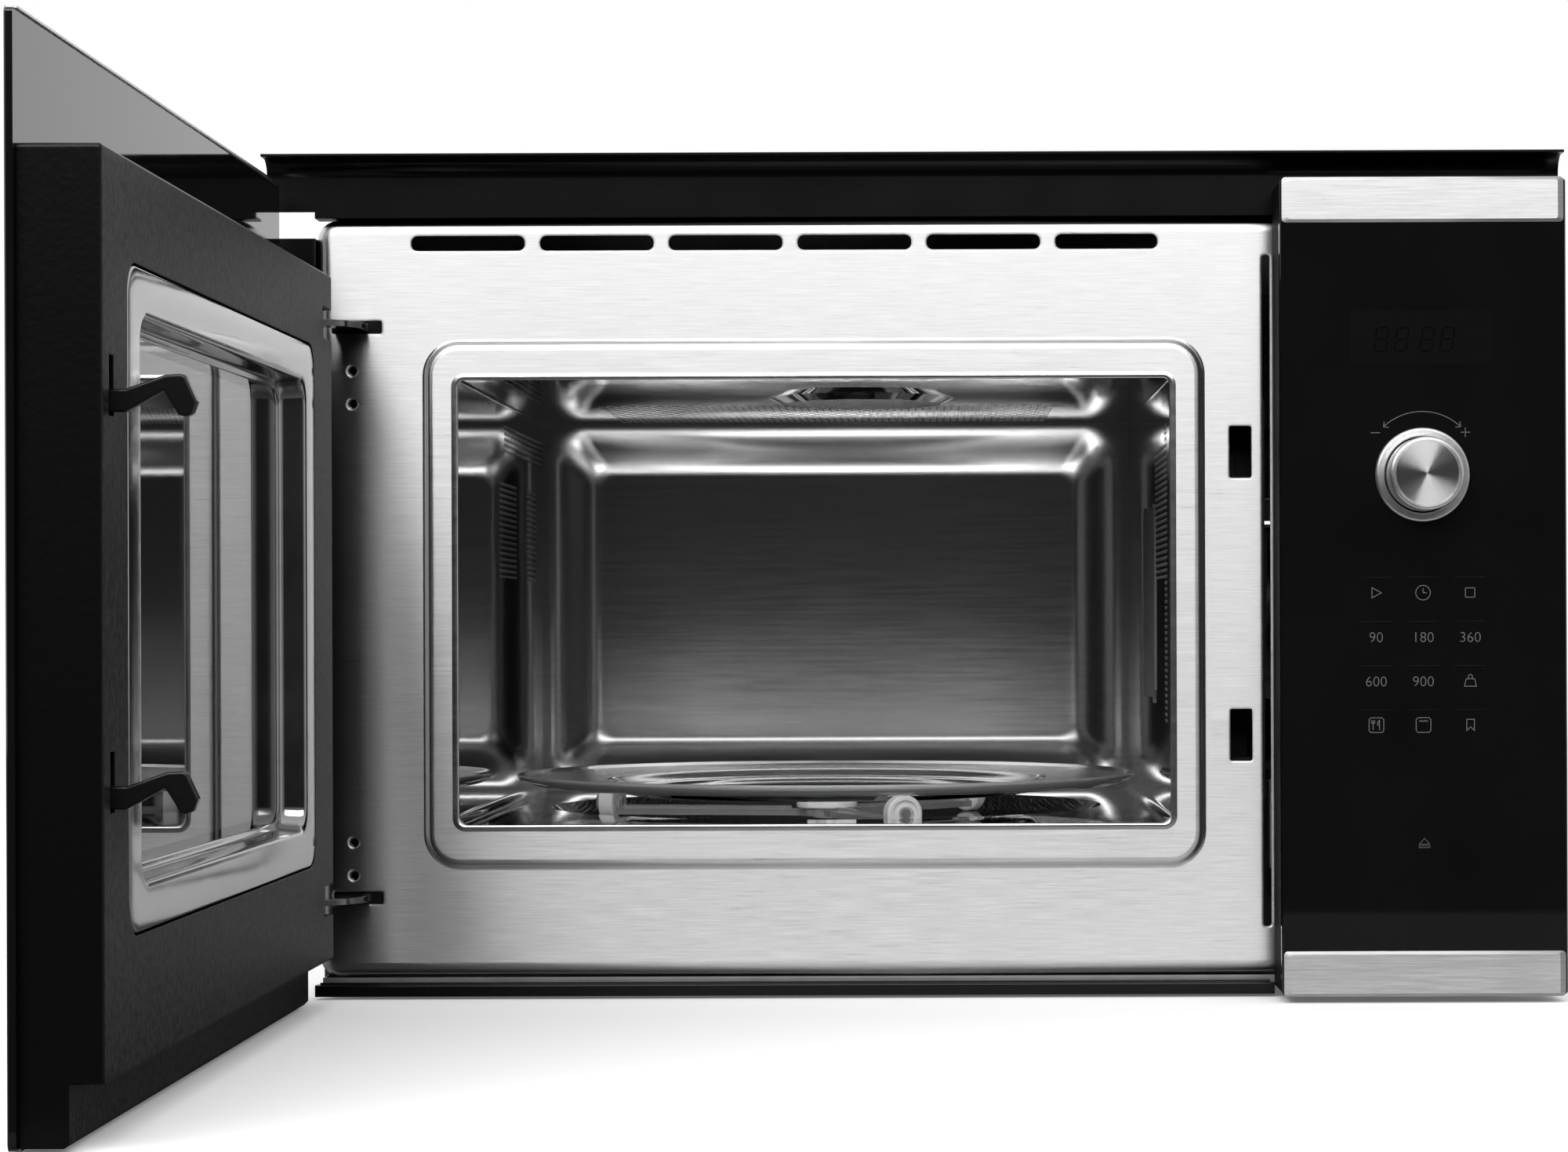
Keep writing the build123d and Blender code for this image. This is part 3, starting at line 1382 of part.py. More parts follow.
def make_fan_duct():
    """Moulded wall across the bay with the fan's collar and the motor's four struts."""
    x_span = (bay_left_x, bay_right_x - seat_gap)
    low = base_top_z + transformer_z + duct_clear
    hole = fan_radius + fan_tip_gap
    high = fan_z + hole + duct_top_margin
    wall = block(x_span, (bay_wall_y, bay_wall_y + bay_wall_thick), (low, high))
    collar_y = (bay_wall_y, bay_wall_y + fan_collar)
    wall += rod_y(fan_x, fan_z, collar_y, hole + 2)
    wall -= rod_y(fan_x, fan_z, spread(collar_y, 1), hole)
    foot = block(x_span, (bay_wall_y, bay_wall_y + fan_collar + 2), (low, low + 2))
    wall += foot
    strut_y = (bay_wall_y + fan_collar - 3, bay_wall_y + fan_collar)
    for quarter in range(4):
        strut = block((18.0, hole + 1), strut_y, (-2.0, 2.0))
        wall += Pos(fan_x, 0, fan_z) * Rot(Y=45 + 90 * quarter) * strut
    ring = rod_y(fan_x, fan_z, strut_y, 22) - rod_y(fan_x, fan_z, spread(strut_y, 1), 12)
    return wall + ring


def make_fan_motor():
    start = bay_wall_y + fan_collar + 0.0
    core = panel(around(fan_x, 62), (start, start + 22), around(fan_z, 54), 4)
    core += rod_y(fan_x + 18, fan_z, (start + 1, start + 36), 13)
    core += rod_y(fan_x, fan_z, (start - 2.5, start + 30), 10)
    return core - rod_y(fan_x, fan_z, (start - 4, start + 26), fan_shaft_radius + running_gap)


def make_fan_impeller():
    """Five pitched blades on a cup-shaped hub, pressed on the motor's shaft."""
    front = bay_wall_y + 2.0
    back = front + 15.0
    hub = rod_y(0, 0, (front, back), fan_hub_radius)
    hub = chamfer(hub.faces().sort_by(Axis.Y)[0].edges(), 2.4)
    hub -= rod_y(0, 0, (front + 2.4, back + 1), fan_hub_radius - 2.0)
    hub += rod_y(0, 0, (front + 1, back), fan_shaft_radius + 2.2)
    middle = (front + back) / 2

    def blade_section(radius, chord, pitch):
        plane = Plane(origin=(radius, middle, 0), x_dir=(0, 1, 0), z_dir=(1, 0, 0))
        return plane * Rot(Z=pitch) * Rectangle(chord, 1.4)

    for index in range(fan_blades):
        blade = loft([
            blade_section(fan_hub_radius - 1.2, 18, 52),
            blade_section(fan_radius * 0.62, 24, 62),
            blade_section(fan_radius, 30, 68),
        ])
        hub += Rot(Y=360 / fan_blades * index) * blade
    collar_end = bay_wall_y + fan_collar
    hub += rod_y(0, 0, (back - 2, collar_end + 25), fan_shaft_radius)
    return Pos(fan_x, 0, fan_z) * hub


def make_transformer():
    """Laminated core on its feet with the primary and secondary windings."""
    y_span = transformer_y
    x = transformer_x
    core = block(around(x, transformer_width), y_span, (base_top_z + 4, base_top_z + transformer_z))
    window_z = (base_top_z + 18, base_top_z + transformer_z - 14)
    core -= block(around(x, transformer_window), spread(y_span, 1), window_z)
    core += block(around(x, transformer_leg), y_span, spread(window_z, 1))
    foot_x = around(x, transformer_width + 2 * transformer_foot)
    feet = block(foot_x, spread(y_span, -14), (base_top_z, base_top_z + 4))
    for z in (base_top_z + 11, base_top_z + transformer_z - 7):
        for y in (y_span[0] + 6, y_span[1] - 6):
            feet += rod_x(y, z, around(x, transformer_width + 4), 2.0)
    coil_y = spread(y_span, 9)
    low = base_top_z + 19
    high = base_top_z + transformer_z - 15
    split = low + (high - low) * 0.62
    parts = [core + feet]
    for z_span in ((low, split - 1), (split + 1, high)):
        coil = panel_flat(around(x, transformer_window - 2), coil_y, z_span, 8)
        parts.append(coil - block(around(x, transformer_leg + 0.8), spread(coil_y, -8.6), spread(z_span, 1)))
    return group(parts)


def make_capacitor():
    """Oval can standing in its clamp strap."""
    width, depth, height = capacitor_size
    x = capacitor_x
    z_span = (base_top_z, base_top_z + height)
    can = panel_flat(around(x, width), around(capacitor_y, depth), z_span, depth / 2 - 0.1)
    can = chamfer(can.faces().sort_by(Axis.Z)[-1].edges(), 1.5)
    strap_z = (base_top_z + 30, base_top_z + 42)
    strap = panel_flat(around(x, width + 3), around(capacitor_y, depth + 3), strap_z, depth / 2 + 1.4)
    leg_x = (x - width / 2 - 14, x - width / 2)
    strap += block(leg_x, around(capacitor_y, 10), (base_top_z, strap_z[1]))
    for side in (-1, 1):
        can += rod_z(x + side * 10, capacitor_y, (z_span[1] - 1, z_span[1] + 6), 5)
    return can + strap


def make_power_board():
    low = cavity_roof_z + 7
    board = block(board_x, board_y, (low, low + board_thick))
    top = low + 1.5
    for x, y, width, depth, height in (
        (8, 60, 29, 13, 16), (8, 78, 29, 13, 16), (8, 96, 29, 13, 16), (70, 70, 38, 34, 28), (60, 150, 50, 12, 10)
    ):
        board += block(around(x, width), around(y, depth), (top, top + height))
    for x, y, radius, height in ((84, 110, 8, 20), (60, 112, 6, 18), (20, 140, 10, 12)):
        board += rod_z(x, y, (top, top + height), radius)
    for x in spread(board_x, -7):
        for y in spread(board_y, -7):
            board += rod_z(x, y, (cavity_roof_z, low + 1), 3.5)
    return board


def make_cavity_lamp():
    """Lamp in its holder, behind the perforated patch of the right wall."""
    x_span = (bay_left_x, bay_left_x + 1.5)
    holder = block(x_span, around(lamp_y, 40), around(lamp_z, 34))
    holder += block((bay_left_x + 1, bay_left_x + 24), around(lamp_y, 26), around(lamp_z, 26))
    holder -= rod_x(lamp_y, lamp_z, (bay_left_x - 1, bay_left_x + 16), 10)
    bulb = rod_x(lamp_y, lamp_z, (bay_left_x + 4, bay_left_x + 17), 6.5)
    return holder + bulb


left_strip_x = (front_left_x + strip_end_inset, door_right_x - strip_end_inset)
right_strip_x = (panel_left_x + strip_end_inset, panel_right_x - strip_outer_inset)

fixed_nodes = {
    "face_plate": make_face_plate(),
    "cavity_wrap": make_cavity_wrap(),
    "cavity_floor": make_cavity_floor(),
    "cavity_back": make_cavity_back(),
    "waveguide_cover": make_waveguide_cover(),
    "grill_reflector": make_grill_reflector(),
    "quartz_tubes": make_quartz_tubes(),
    "tray_motor": make_tray_motor(),
    "hinge_bracket_upper": make_hinge_bracket(hinge_upper_z, -1),
    "hinge_bracket_lower": make_hinge_bracket(hinge_lower_z, 1),
    "hinge_pins": make_hinge_pins(),
    "control_glass": make_control_glass(),
    "control_housing": make_control_housing(),
    "panel_strip_top": make_strip(right_strip_x, panel_top_z, True),
    "panel_strip_bottom": make_strip(right_strip_x, panel_bottom_z, False),
    "knob_bezel": make_knob_bezel(),
    "encoder": make_encoder(),
    "control_board": make_control_board(),
    "display_module": make_display_module(),
    "top_flange": make_top_flange(),
    "side_bracket": make_side_bracket(),
    "bottom_sill": make_sill(),
    "interlock_bracket": make_interlock_bracket(),
    "door_switches": make_door_switches(),
    "door_opener": make_door_opener(),
    "outer_casing": make_outer_casing(),
    "rear_cover": make_rear_cover(),
    "base_plate": make_base_plate(),
    "feet": make_feet(),
    "cable_gland": make_cable_gland(),
    "cover_screws": make_cover_screws(),
    "waveguide": make_waveguide(),
    "magnetron": make_magnetron(),
    "fan_duct": make_fan_duct(),
    "fan_motor": make_fan_motor(),
    "transformer": make_transformer(),
    "capacitor": make_capacitor(),
    "power_board": make_power_board(),
    "cavity_lamp": make_cavity_lamp(),
}

moving_nodes = {
    "glass_tray": make_glass_tray(),
    "drive_hub": make_drive_hub(),
    "roller_stay": make_roller_stay(),
    "knob_rim": make_knob_rim(),
    "knob_disc": make_knob_disc(),
    "dial_shaft": make_dial_shaft(),
    "opener_plunger": make_opener_plunger(),
    "fan_impeller": make_fan_impeller(),
}
for number, angle in enumerate(roller_angles, start=1):
    moving_nodes[f"roller_{number}"] = make_roller(angle)

door_nodes = {
    "door_glass": make_door_glass(),
    "door_strip_top": make_strip(left_strip_x, door_top_z, True),
    "door_strip_bottom": make_strip(left_strip_x, door_bottom_z, False),
    "door_frame": make_door_frame(),
    "window_frame": make_window_frame(),
    "window_pane": make_window_pane(),
    "mesh_screen": make_mesh_screen(),
    "hinge_plates": group((make_hinge_plate(hinge_upper_z, False), make_hinge_plate(hinge_lower_z, True))),
    "latch_bar": make_latch_bar(),
    "latch_spring": make_latch_spring(),
}

for name, solid in {**fixed_nodes, **moving_nodes}.items():
    export_step(solid, f"parts/{name}.step")
for name, solid in door_nodes.items():
    export_step(swing_open(solid), f"parts/{name}.step")
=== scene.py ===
import bpy
import math
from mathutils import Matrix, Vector


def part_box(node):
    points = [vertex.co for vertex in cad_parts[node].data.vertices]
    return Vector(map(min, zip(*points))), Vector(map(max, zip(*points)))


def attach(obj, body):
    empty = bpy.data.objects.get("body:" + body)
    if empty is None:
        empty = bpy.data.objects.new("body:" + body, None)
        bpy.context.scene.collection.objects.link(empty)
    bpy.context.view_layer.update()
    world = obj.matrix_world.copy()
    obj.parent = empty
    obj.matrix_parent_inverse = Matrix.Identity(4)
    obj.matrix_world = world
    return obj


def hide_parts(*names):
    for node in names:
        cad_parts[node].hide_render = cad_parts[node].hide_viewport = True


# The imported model: its nodes are the real shapes, and what follows gives them their finish
# and adds the finer pieces. All sizes are in metres unless a value is written in MM.
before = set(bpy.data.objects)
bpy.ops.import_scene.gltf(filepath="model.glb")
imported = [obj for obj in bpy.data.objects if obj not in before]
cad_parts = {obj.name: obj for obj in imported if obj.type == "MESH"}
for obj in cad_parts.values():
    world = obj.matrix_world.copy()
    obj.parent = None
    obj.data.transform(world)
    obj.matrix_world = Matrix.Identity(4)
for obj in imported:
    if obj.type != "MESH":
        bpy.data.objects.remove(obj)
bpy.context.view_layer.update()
MM = 0.001

# Cavity: folded walls and roof and a pressed floor, of bare bright-rolled stainless sheet. Fields
# of punched holes let in the lamp's light, the grill's heat and the air. The walls, the floor and
# the rear wall are spot-welded together.


def shader_group(name, inputs, outputs):
    """An empty shader node group with its sockets; returns the tree and its two end nodes."""
    tree = bpy.data.node_groups.new(name, "ShaderNodeTree")
    for label, kind, value in inputs:
        socket = tree.interface.new_socket(label, in_out="INPUT", socket_type=kind)
        socket.default_value = value
    for label, kind in outputs:
        tree.interface.new_socket(label, in_out="OUTPUT", socket_type=kind)
    return tree, tree.nodes.new("NodeGroupInput"), tree.nodes.new("NodeGroupOutput")


def add(tree, kind, **settings):
    node = tree.nodes.new(kind)
    for key, value in settings.items():
        setattr(node, key, value)
    return node


def math_node(tree, operation, first, second=None, third=None):
    """A Math node; numbers are set on it and sockets are linked to it. Returns its output."""
    node = add(tree, "ShaderNodeMath", operation=operation)
    for socket, value in zip(node.inputs, (first, second, third)):
        if isinstance(value, (int, float)):
            socket.default_value = value
        elif value is not None:
            tree.links.new(value, socket)
    return node.outputs[0]


def ramp_between(tree, factor, low, high):
    """A value that runs from low to high as the factor runs from 0 to 1."""
    node = add(tree, "ShaderNodeMapRange")
    node.inputs["To Min"].default_value = low
    node.inputs["To Max"].default_value = high
    tree.links.new(factor, node.inputs["Value"])
    return node.outputs["Result"]


def grey(level):
    return (level, level, level)


def shade_between(tree, factor, dark, light):
    """A grey or tinted colour that runs from dark to light with the factor."""
    node = add(tree, "ShaderNodeMix", data_type="RGBA")
    node.inputs["A"].default_value = (*dark, 1.0)
    node.inputs["B"].default_value = (*light, 1.0)
    tree.links.new(factor, node.inputs["Factor"])
    return node.outputs["Result"]


def painted_over(tree, below, mask, colour):
    """The colour below, covered by one flat colour where the mask is 1."""
    node = add(tree, "ShaderNodeMix", data_type="RGBA")
    node.inputs["B"].default_value = (*colour, 1.0)
    tree.links.new(mask, node.inputs["Factor"])
    tree.links.new(below, node.inputs["A"])
    return node.outputs["Result"]


def axes_of(tree, output="Object"):
    """A texture coordinate's three values, as sockets X, Y and Z."""
    place = add(tree, "ShaderNodeTexCoord")
    axes = add(tree, "ShaderNodeSeparateXYZ")
    tree.links.new(place.outputs[output], axes.inputs["Vector"])
    return axes.outputs


def grain_group():
    """Drawn-out surface marks: Scale says how many there are per metre along each axis."""
    tree, start, end = shader_group(
        "Directional marks",
        [("Scale", "NodeSocketVector", (20.0, 700.0, 700.0)), ("Depth", "NodeSocketFloat", 0.1)],
        [("Streaks", "NodeSocketFloat"), ("Clouds", "NodeSocketFloat"), ("Normal", "NodeSocketVector")],
    )
    place = add(tree, "ShaderNodeTexCoord")
    drawn = add(tree, "ShaderNodeVectorMath", operation="MULTIPLY")
    tree.links.new(place.outputs["Object"], drawn.inputs[0])
    tree.links.new(start.outputs["Scale"], drawn.inputs[1])
    streaks = add(tree, "ShaderNodeTexNoise")
    streaks.inputs["Scale"].default_value = 1.0
    streaks.inputs["Detail"].default_value = 4.0
    streaks.inputs["Roughness"].default_value = 0.7
    tree.links.new(drawn.outputs[0], streaks.inputs["Vector"])
    clouds = add(tree, "ShaderNodeTexNoise")
    clouds.inputs["Scale"].default_value = 14.0
    clouds.inputs["Detail"].default_value = 3.0
    tree.links.new(place.outputs["Object"], clouds.inputs["Vector"])
    bump = add(tree, "ShaderNodeBump")
    bump.inputs["Distance"].default_value = 0.0002
    tree.links.new(start.outputs["Depth"], bump.inputs["Strength"])
    tree.links.new(streaks.outputs["Fac"], bump.inputs["Height"])
    contrast, darkening = 2.6, -0.8
    sharper = math_node(tree, "MULTIPLY_ADD", streaks.outputs["Fac"], contrast, darkening)
    tree.links.new(sharper, end.inputs["Streaks"])
    tree.links.new(clouds.outputs["Fac"], end.inputs["Clouds"])
    tree.links.new(bump.outputs["Normal"], end.inputs["Normal"])
    return tree


def holes_group():
    """Mask of punched holes in staggered rows over one rectangle, with a painted highlight on one side of
    each hole's rim; U and V are in metres.
    """
    tree, start, end = shader_group(
        "Punched holes",
        [
            ("U", "NodeSocketFloat", 0.0), ("V", "NodeSocketFloat", 0.0),
            ("Pitch", "NodeSocketFloat", 0.0034), ("Radius", "NodeSocketFloat", 0.0011),
            ("U low", "NodeSocketFloat", 0.0), ("U high", "NodeSocketFloat", 1.0),
            ("V low", "NodeSocketFloat", 0.0), ("V high", "NodeSocketFloat", 1.0),
        ],
        [("Hole", "NodeSocketFloat"), ("Rim highlight", "NodeSocketFloat")],
    )
    given = start.outputs
    rows_over_pitch = 0.866
    rim_over_radius = 1.4
    row_pitch = math_node(tree, "MULTIPLY", given["Pitch"], rows_over_pitch)
    row = math_node(tree, "DIVIDE", given["V"], row_pitch)
    shift = math_node(tree, "MULTIPLY", math_node(tree, "PINGPONG", math_node(tree, "FLOOR", row), 1.0), 0.5)
    column = math_node(tree, "ADD", math_node(tree, "DIVIDE", given["U"], given["Pitch"]), shift)
    across = math_node(tree, "SUBTRACT", math_node(tree, "FRACT", column), 0.5)
    across = math_node(tree, "MULTIPLY", across, given["Pitch"])
    along = math_node(tree, "SUBTRACT", math_node(tree, "FRACT", row), 0.5)
    along = math_node(tree, "MULTIPLY", along, row_pitch)
    squares = [math_node(tree, "POWER", offset, 2.0) for offset in (across, along)]
    reach = math_node(tree, "SQRT", math_node(tree, "ADD", *squares))
    hole = math_node(tree, "LESS_THAN", reach, given["Radius"])
    rim_radius = math_node(tree, "MULTIPLY", given["Radius"], rim_over_radius)
    # the rim is a painted highlight: a bright ring on one side of each hole only
    rolled = math_node(tree, "LESS_THAN", reach, rim_radius)
    rolled = math_node(tree, "MULTIPLY", rolled, math_node(tree, "GREATER_THAN", along, 0.0))
    rim = math_node(tree, "MULTIPLY", rolled, math_node(tree, "SUBTRACT", 1.0, hole))
    inside = 1.0
    for axis in ("U", "V"):
        above = math_node(tree, "GREATER_THAN", given[axis], given[axis + " low"])
        below = math_node(tree, "LESS_THAN", given[axis], given[axis + " high"])
        inside = math_node(tree, "MULTIPLY", math_node(tree, "MULTIPLY", above, below), inside)
    tree.links.new(math_node(tree, "MULTIPLY", hole, inside), end.inputs["Hole"])
    tree.links.new(math_node(tree, "MULTIPLY", rim, inside), end.inputs["Rim highlight"])
    return tree


marks = grain_group()
holes = holes_group()


def new_material(name):
    made = bpy.data.materials.new(name)
    made.use_nodes = True
    return made, made.node_tree, made.node_tree.nodes["Principled BSDF"]


def use_group(tree, group, **values):
    node = add(tree, "ShaderNodeGroup", node_tree=group)
    for key, value in values.items():
        node.inputs[key].default_value = value
    return node


def dress(finish, *names):
    """Gives CAD nodes a finish."""
    for name in names:
        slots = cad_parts[name].data.materials
        slots.clear()
        slots.append(finish)


cavity_dark = (0.40, 0.40, 0.405)
cavity_light = grey(0.49)
hole_dark = grey(0.01)
rim_painted_highlight = grey(0.95)
sheet_rough = (0.012, 0.035)
rim_highlight_rough = 0.5
hole_rough = 0.6
sheet_skin = 3 * MM
wall_holes = {"Pitch": 0.0034, "Radius": 0.0011}
roof_holes = {"Pitch": 0.0075, "Radius": 0.0024}
punched_fields = (
    # across, up, spans across and up, and the side: -1 left wall, 1 right wall, 0 roof
    ("Y", "Z", (0.174, 0.353), (0.260, 0.274), -1),
    ("Y", "Z", (0.155, 0.226), (0.196, 0.245), -1),
    ("Y", "Z", (0.272, 0.317), (0.196, 0.245), -1),
    ("Y", "Z", (0.031, 0.110), (0.193, 0.257), 1),
    ("Y", "Z", (0.022, 0.040), (0.124, 0.266), 1),
    ("X", "Y", (-0.1635, 0.0718), (0.194, 0.341), 0),
)
mirror_sheet, tree, shader = new_material("Cavity sheet")
lines = use_group(tree, marks, Scale=(13.0, 9.0, 11.0), Depth=0.45)
shader.inputs["Metallic"].default_value = 1.0
axes = axes_of(tree)
sheet_middle_x = sum(corner.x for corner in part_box("cavity_wrap")) / 2
roof_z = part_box("cavity_wrap")[1].z
right_half = math_node(tree, "GREATER_THAN", axes["X"], sheet_middle_x)
left_half = math_node(tree, "SUBTRACT", 1.0, right_half)
near_roof = math_node(tree, "GREATER_THAN", axes["Z"], roof_z - sheet_skin)
below_roof = math_node(tree, "SUBTRACT", 1.0, near_roof)
punched = None
rolled = None
for across, up, across_span, up_span, side in punched_fields:
    limits = {"U low": across_span[0], "U high": across_span[1], "V low": up_span[0], "V high": up_span[1]}
    field = use_group(tree, holes, **limits, **(wall_holes if side else roof_holes))
    tree.links.new(axes[across], field.inputs["U"])
    tree.links.new(axes[up], field.inputs["V"])
    where = {-1: left_half, 1: right_half, 0: near_roof}[side]
    if side:
        where = math_node(tree, "MULTIPLY", where, below_roof)
    mask = math_node(tree, "MULTIPLY", field.outputs["Hole"], where)
    edge = math_node(tree, "MULTIPLY", field.outputs["Rim highlight"], where)
    punched = mask if punched is None else math_node(tree, "MAXIMUM", punched, mask)
    rolled = edge if rolled is None else math_node(tree, "MAXIMUM", rolled, edge)
# hole rims get a painted highlight, near-white on one side of each hole
steel = shade_between(tree, lines.outputs["Streaks"], cavity_dark, cavity_light)
steel = painted_over(tree, steel, rolled, rim_painted_highlight)
steel = painted_over(tree, steel, punched, hole_dark)
tree.links.new(steel, shader.inputs["Base Color"])
rough = ramp_between(tree, lines.outputs["Clouds"], *sheet_rough)
rough = math_node(tree, "MULTIPLY_ADD", rolled, rim_highlight_rough, rough)
rough = math_node(tree, "MULTIPLY_ADD", punched, hole_rough, rough)
tree.links.new(rough, shader.inputs["Roughness"])
tree.links.new(lines.outputs["Normal"], shader.inputs["Normal"])
dress(mirror_sheet, "cavity_wrap", "cavity_floor")

# Rear wall of the cavity: a shallow pan deep-drawn in stainless sheet, so that every bend of it
# is soft. It is ground sideways to a satin, left bare, and closes the folded sheet at the back.


def link_normal(tree, shader, normal, round_edge):
    """Surface relief, with the edges shaded as if they were rounded to this radius."""
    if round_edge:
        edge = add(tree, "ShaderNodeBevel", samples=6)
        edge.inputs["Radius"].default_value = round_edge
        tree.links.new(normal, edge.inputs["Normal"])
        normal = edge.outputs["Normal"]
    tree.links.new(normal, shader.inputs["Normal"])


def turned_tangent(tree, centre):
    """Direction of lathe grooves about the Y line through the centre, whichever way it is turned."""
    place = add(tree, "ShaderNodeTexCoord")
    arm = add(tree, "ShaderNodeVectorMath", operation="SUBTRACT")
    arm.inputs[1].default_value = centre
    tree.links.new(place.outputs["Object"], arm.inputs[0])
    groove = add(tree, "ShaderNodeVectorMath", operation="CROSS_PRODUCT")
    groove.inputs[1].default_value = (0.0, 1.0, 0.0)
    tree.links.new(arm.outputs[0], groove.inputs[0])
    world_groove = add(tree, "ShaderNodeVectorTransform", vector_type="VECTOR", convert_from="OBJECT",
                       convert_to="WORLD")
    tree.links.new(groove.outputs[0], world_groove.inputs[0])
    return world_groove.outputs[0]


def brushed_metal(name, dark, light, rough, scale, depth, anisotropy=0.0, centre=None, round_edge=0.0):
    """Sheet metal with drawn-out grinding marks; scale gives marks per metre along X, Y, Z."""
    made, tree, shader = new_material(name)
    lines = use_group(tree, marks, Scale=scale, Depth=depth)
    shader.inputs["Metallic"].default_value = 1.0
    shader.inputs["Anisotropic"].default_value = anisotropy
    shader.inputs["Anisotropic Rotation"].default_value = 0.25
    tree.links.new(shade_between(tree, lines.outputs["Streaks"], dark, light), shader.inputs["Base Color"])
    mixed = math_node(tree, "MULTIPLY_ADD", lines.outputs["Clouds"], 0.5, lines.outputs["Streaks"])
    tree.links.new(ramp_between(tree, mixed, rough[0], rough[1]), shader.inputs["Roughness"])
    link_normal(tree, shader, lines.outputs["Normal"], round_edge)
    if centre:
        tree.links.new(turned_tangent(tree, centre), shader.inputs["Tangent"])
    elif anisotropy:
        tangent = add(tree, "ShaderNodeTangent", direction_type="RADIAL", axis="Z")
        tree.links.new(tangent.outputs["Tangent"], shader.inputs["Tangent"])
    return made


def mesh_piece(name, points, faces, finish, body="root", slot=None, smooth=True):
    """A new piece from points in metres; it moves with its body."""
    mesh = bpy.data.meshes.new(name)
    mesh.from_pydata([tuple(p) for p in points], [], faces)
    mesh.materials.append(finish)
    mesh.update()
    if smooth:
        mesh.shade_smooth()
    piece = bpy.data.objects.new(name, mesh)
    bpy.context.scene.collection.objects.link(piece)
    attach(piece, body)
    return piece


def ring_faces(count, first, second):
    """Quads between two closed loops whose points start at these indices."""
    return [
        (first + i, first + (i + 1) % count, second + (i + 1) % count, second + i) for i in range(count)
    ]


def rounded_loop(x_span, z_span, radius, y, corner_steps=10):
    """Points of a rounded rectangle in a plane of constant Y, in order round it."""
    loop = []
    middles = (
        (x_span[1] - radius, z_span[1] - radius), (x_span[0] + radius, z_span[1] - radius),
        (x_span[0] + radius, z_span[0] + radius), (x_span[1] - radius, z_span[0] + radius),
    )
    for quarter, (x, z) in enumerate(middles):
        for step in range(corner_steps + 1):
            angle = math.radians(90 * (quarter + step / corner_steps))
            loop.append(Vector((x + radius * math.cos(angle), y, z + radius * math.sin(angle))))
    return loop


def loft_loops(loops, close_last=False):
    """Points and faces through loops that have the same number of points."""
    count = len(loops[0])
    points = [p for loop in loops for p in loop]
    faces = []
    for i in range(len(loops) - 1):
        faces += ring_faces(count, i * count, (i + 1) * count)
    if close_last:
        faces.append(tuple(range((len(loops) - 1) * count, len(loops) * count)))
    return points, faces


def smooth_step(t):
    return t * t * (3 - 2 * t)


def blend_spans(first, second, share):
    """Two (low, high) spans mixed; a share over 1 carries on past the second."""
    return tuple(a + (b - a) * share for a, b in zip(first, second))


pan_satin = brushed_metal(
    "Rear pan satin", (0.42, 0.42, 0.425), grey(0.48), (0.19, 0.23), (16.0, 500.0, 500.0),
    0.004, anisotropy=0.45,
)
back_low, back_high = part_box("cavity_back")
pan_edge_x = (back_low.x, back_high.x)
pan_edge_z = (back_low.z, back_high.z)
pan_rim_x = (-203.8 * MM, 112.1 * MM)
pan_rim_z = (83.0 * MM, 281.9 * MM)
pan_floor_x = (-179.8 * MM, 88.1 * MM)
pan_floor_z = (107.5 * MM, 256.9 * MM)
pan_depth = 14.0 * MM
pan_edge_corner = 4 * MM
pan_rim_corner = 18.0
pan_floor_corner = 10.0
# the slope's bends reach this share of its width past the rim and past the floor's edge
pan_bend = 0.1
pan_steps = 26
pan_loops = [rounded_loop(pan_edge_x, pan_edge_z, pan_edge_corner, back_low.y)]
for step in range(pan_steps + 1):
    share = -pan_bend + (1 + 2 * pan_bend) * step / pan_steps
    drop = smooth_step(min(max((share + pan_bend) / (1 + 2 * pan_bend), 0.0), 1.0))
    pan_loops.append(rounded_loop(
        blend_spans(pan_rim_x, pan_floor_x, share), blend_spans(pan_rim_z, pan_floor_z, share),
        (pan_rim_corner + (pan_floor_corner - pan_rim_corner) * share) * MM, back_low.y + pan_depth * drop,
    ))
rear_pan = mesh_piece("rear_pan", *loft_loops(pan_loops, close_last=True), pan_satin, slot="cavity_steel")
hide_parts("cavity_back")

# Waveguide cover: a thin sheet of mica over the feed in the cavity's right wall, held by two tabs
# at each end. Its flakes make the grey a little uneven.


def moulded_group():
    """Fine spark-eroded grain of moulded plastic or sprayed paint, with worn, shinier patches."""
    tree, start, end = shader_group(
        "Moulded grain",
        [("Scale", "NodeSocketFloat", 1600.0), ("Depth", "NodeSocketFloat", 0.3)],
        [("Grain", "NodeSocketFloat"), ("Wear", "NodeSocketFloat"), ("Normal", "NodeSocketVector")],
    )
    place = add(tree, "ShaderNodeTexCoord")
    grain = add(tree, "ShaderNodeTexNoise")
    grain.inputs["Detail"].default_value = 2.0
    tree.links.new(place.outputs["Object"], grain.inputs["Vector"])
    tree.links.new(start.outputs["Scale"], grain.inputs["Scale"])
    wear = add(tree, "ShaderNodeTexNoise")
    wear.inputs["Scale"].default_value = 22.0
    wear.inputs["Detail"].default_value = 5.0
    tree.links.new(place.outputs["Object"], wear.inputs["Vector"])
    bump = add(tree, "ShaderNodeBump")
    bump.inputs["Distance"].default_value = 0.0001
    tree.links.new(start.outputs["Depth"], bump.inputs["Strength"])
    tree.links.new(grain.outputs["Fac"], bump.inputs["Height"])
    tree.links.new(grain.outputs["Fac"], end.inputs["Grain"])
    tree.links.new(wear.outputs["Fac"], end.inputs["Wear"])
    tree.links.new(bump.outputs["Normal"], end.inputs["Normal"])
    return tree


grain = moulded_group()


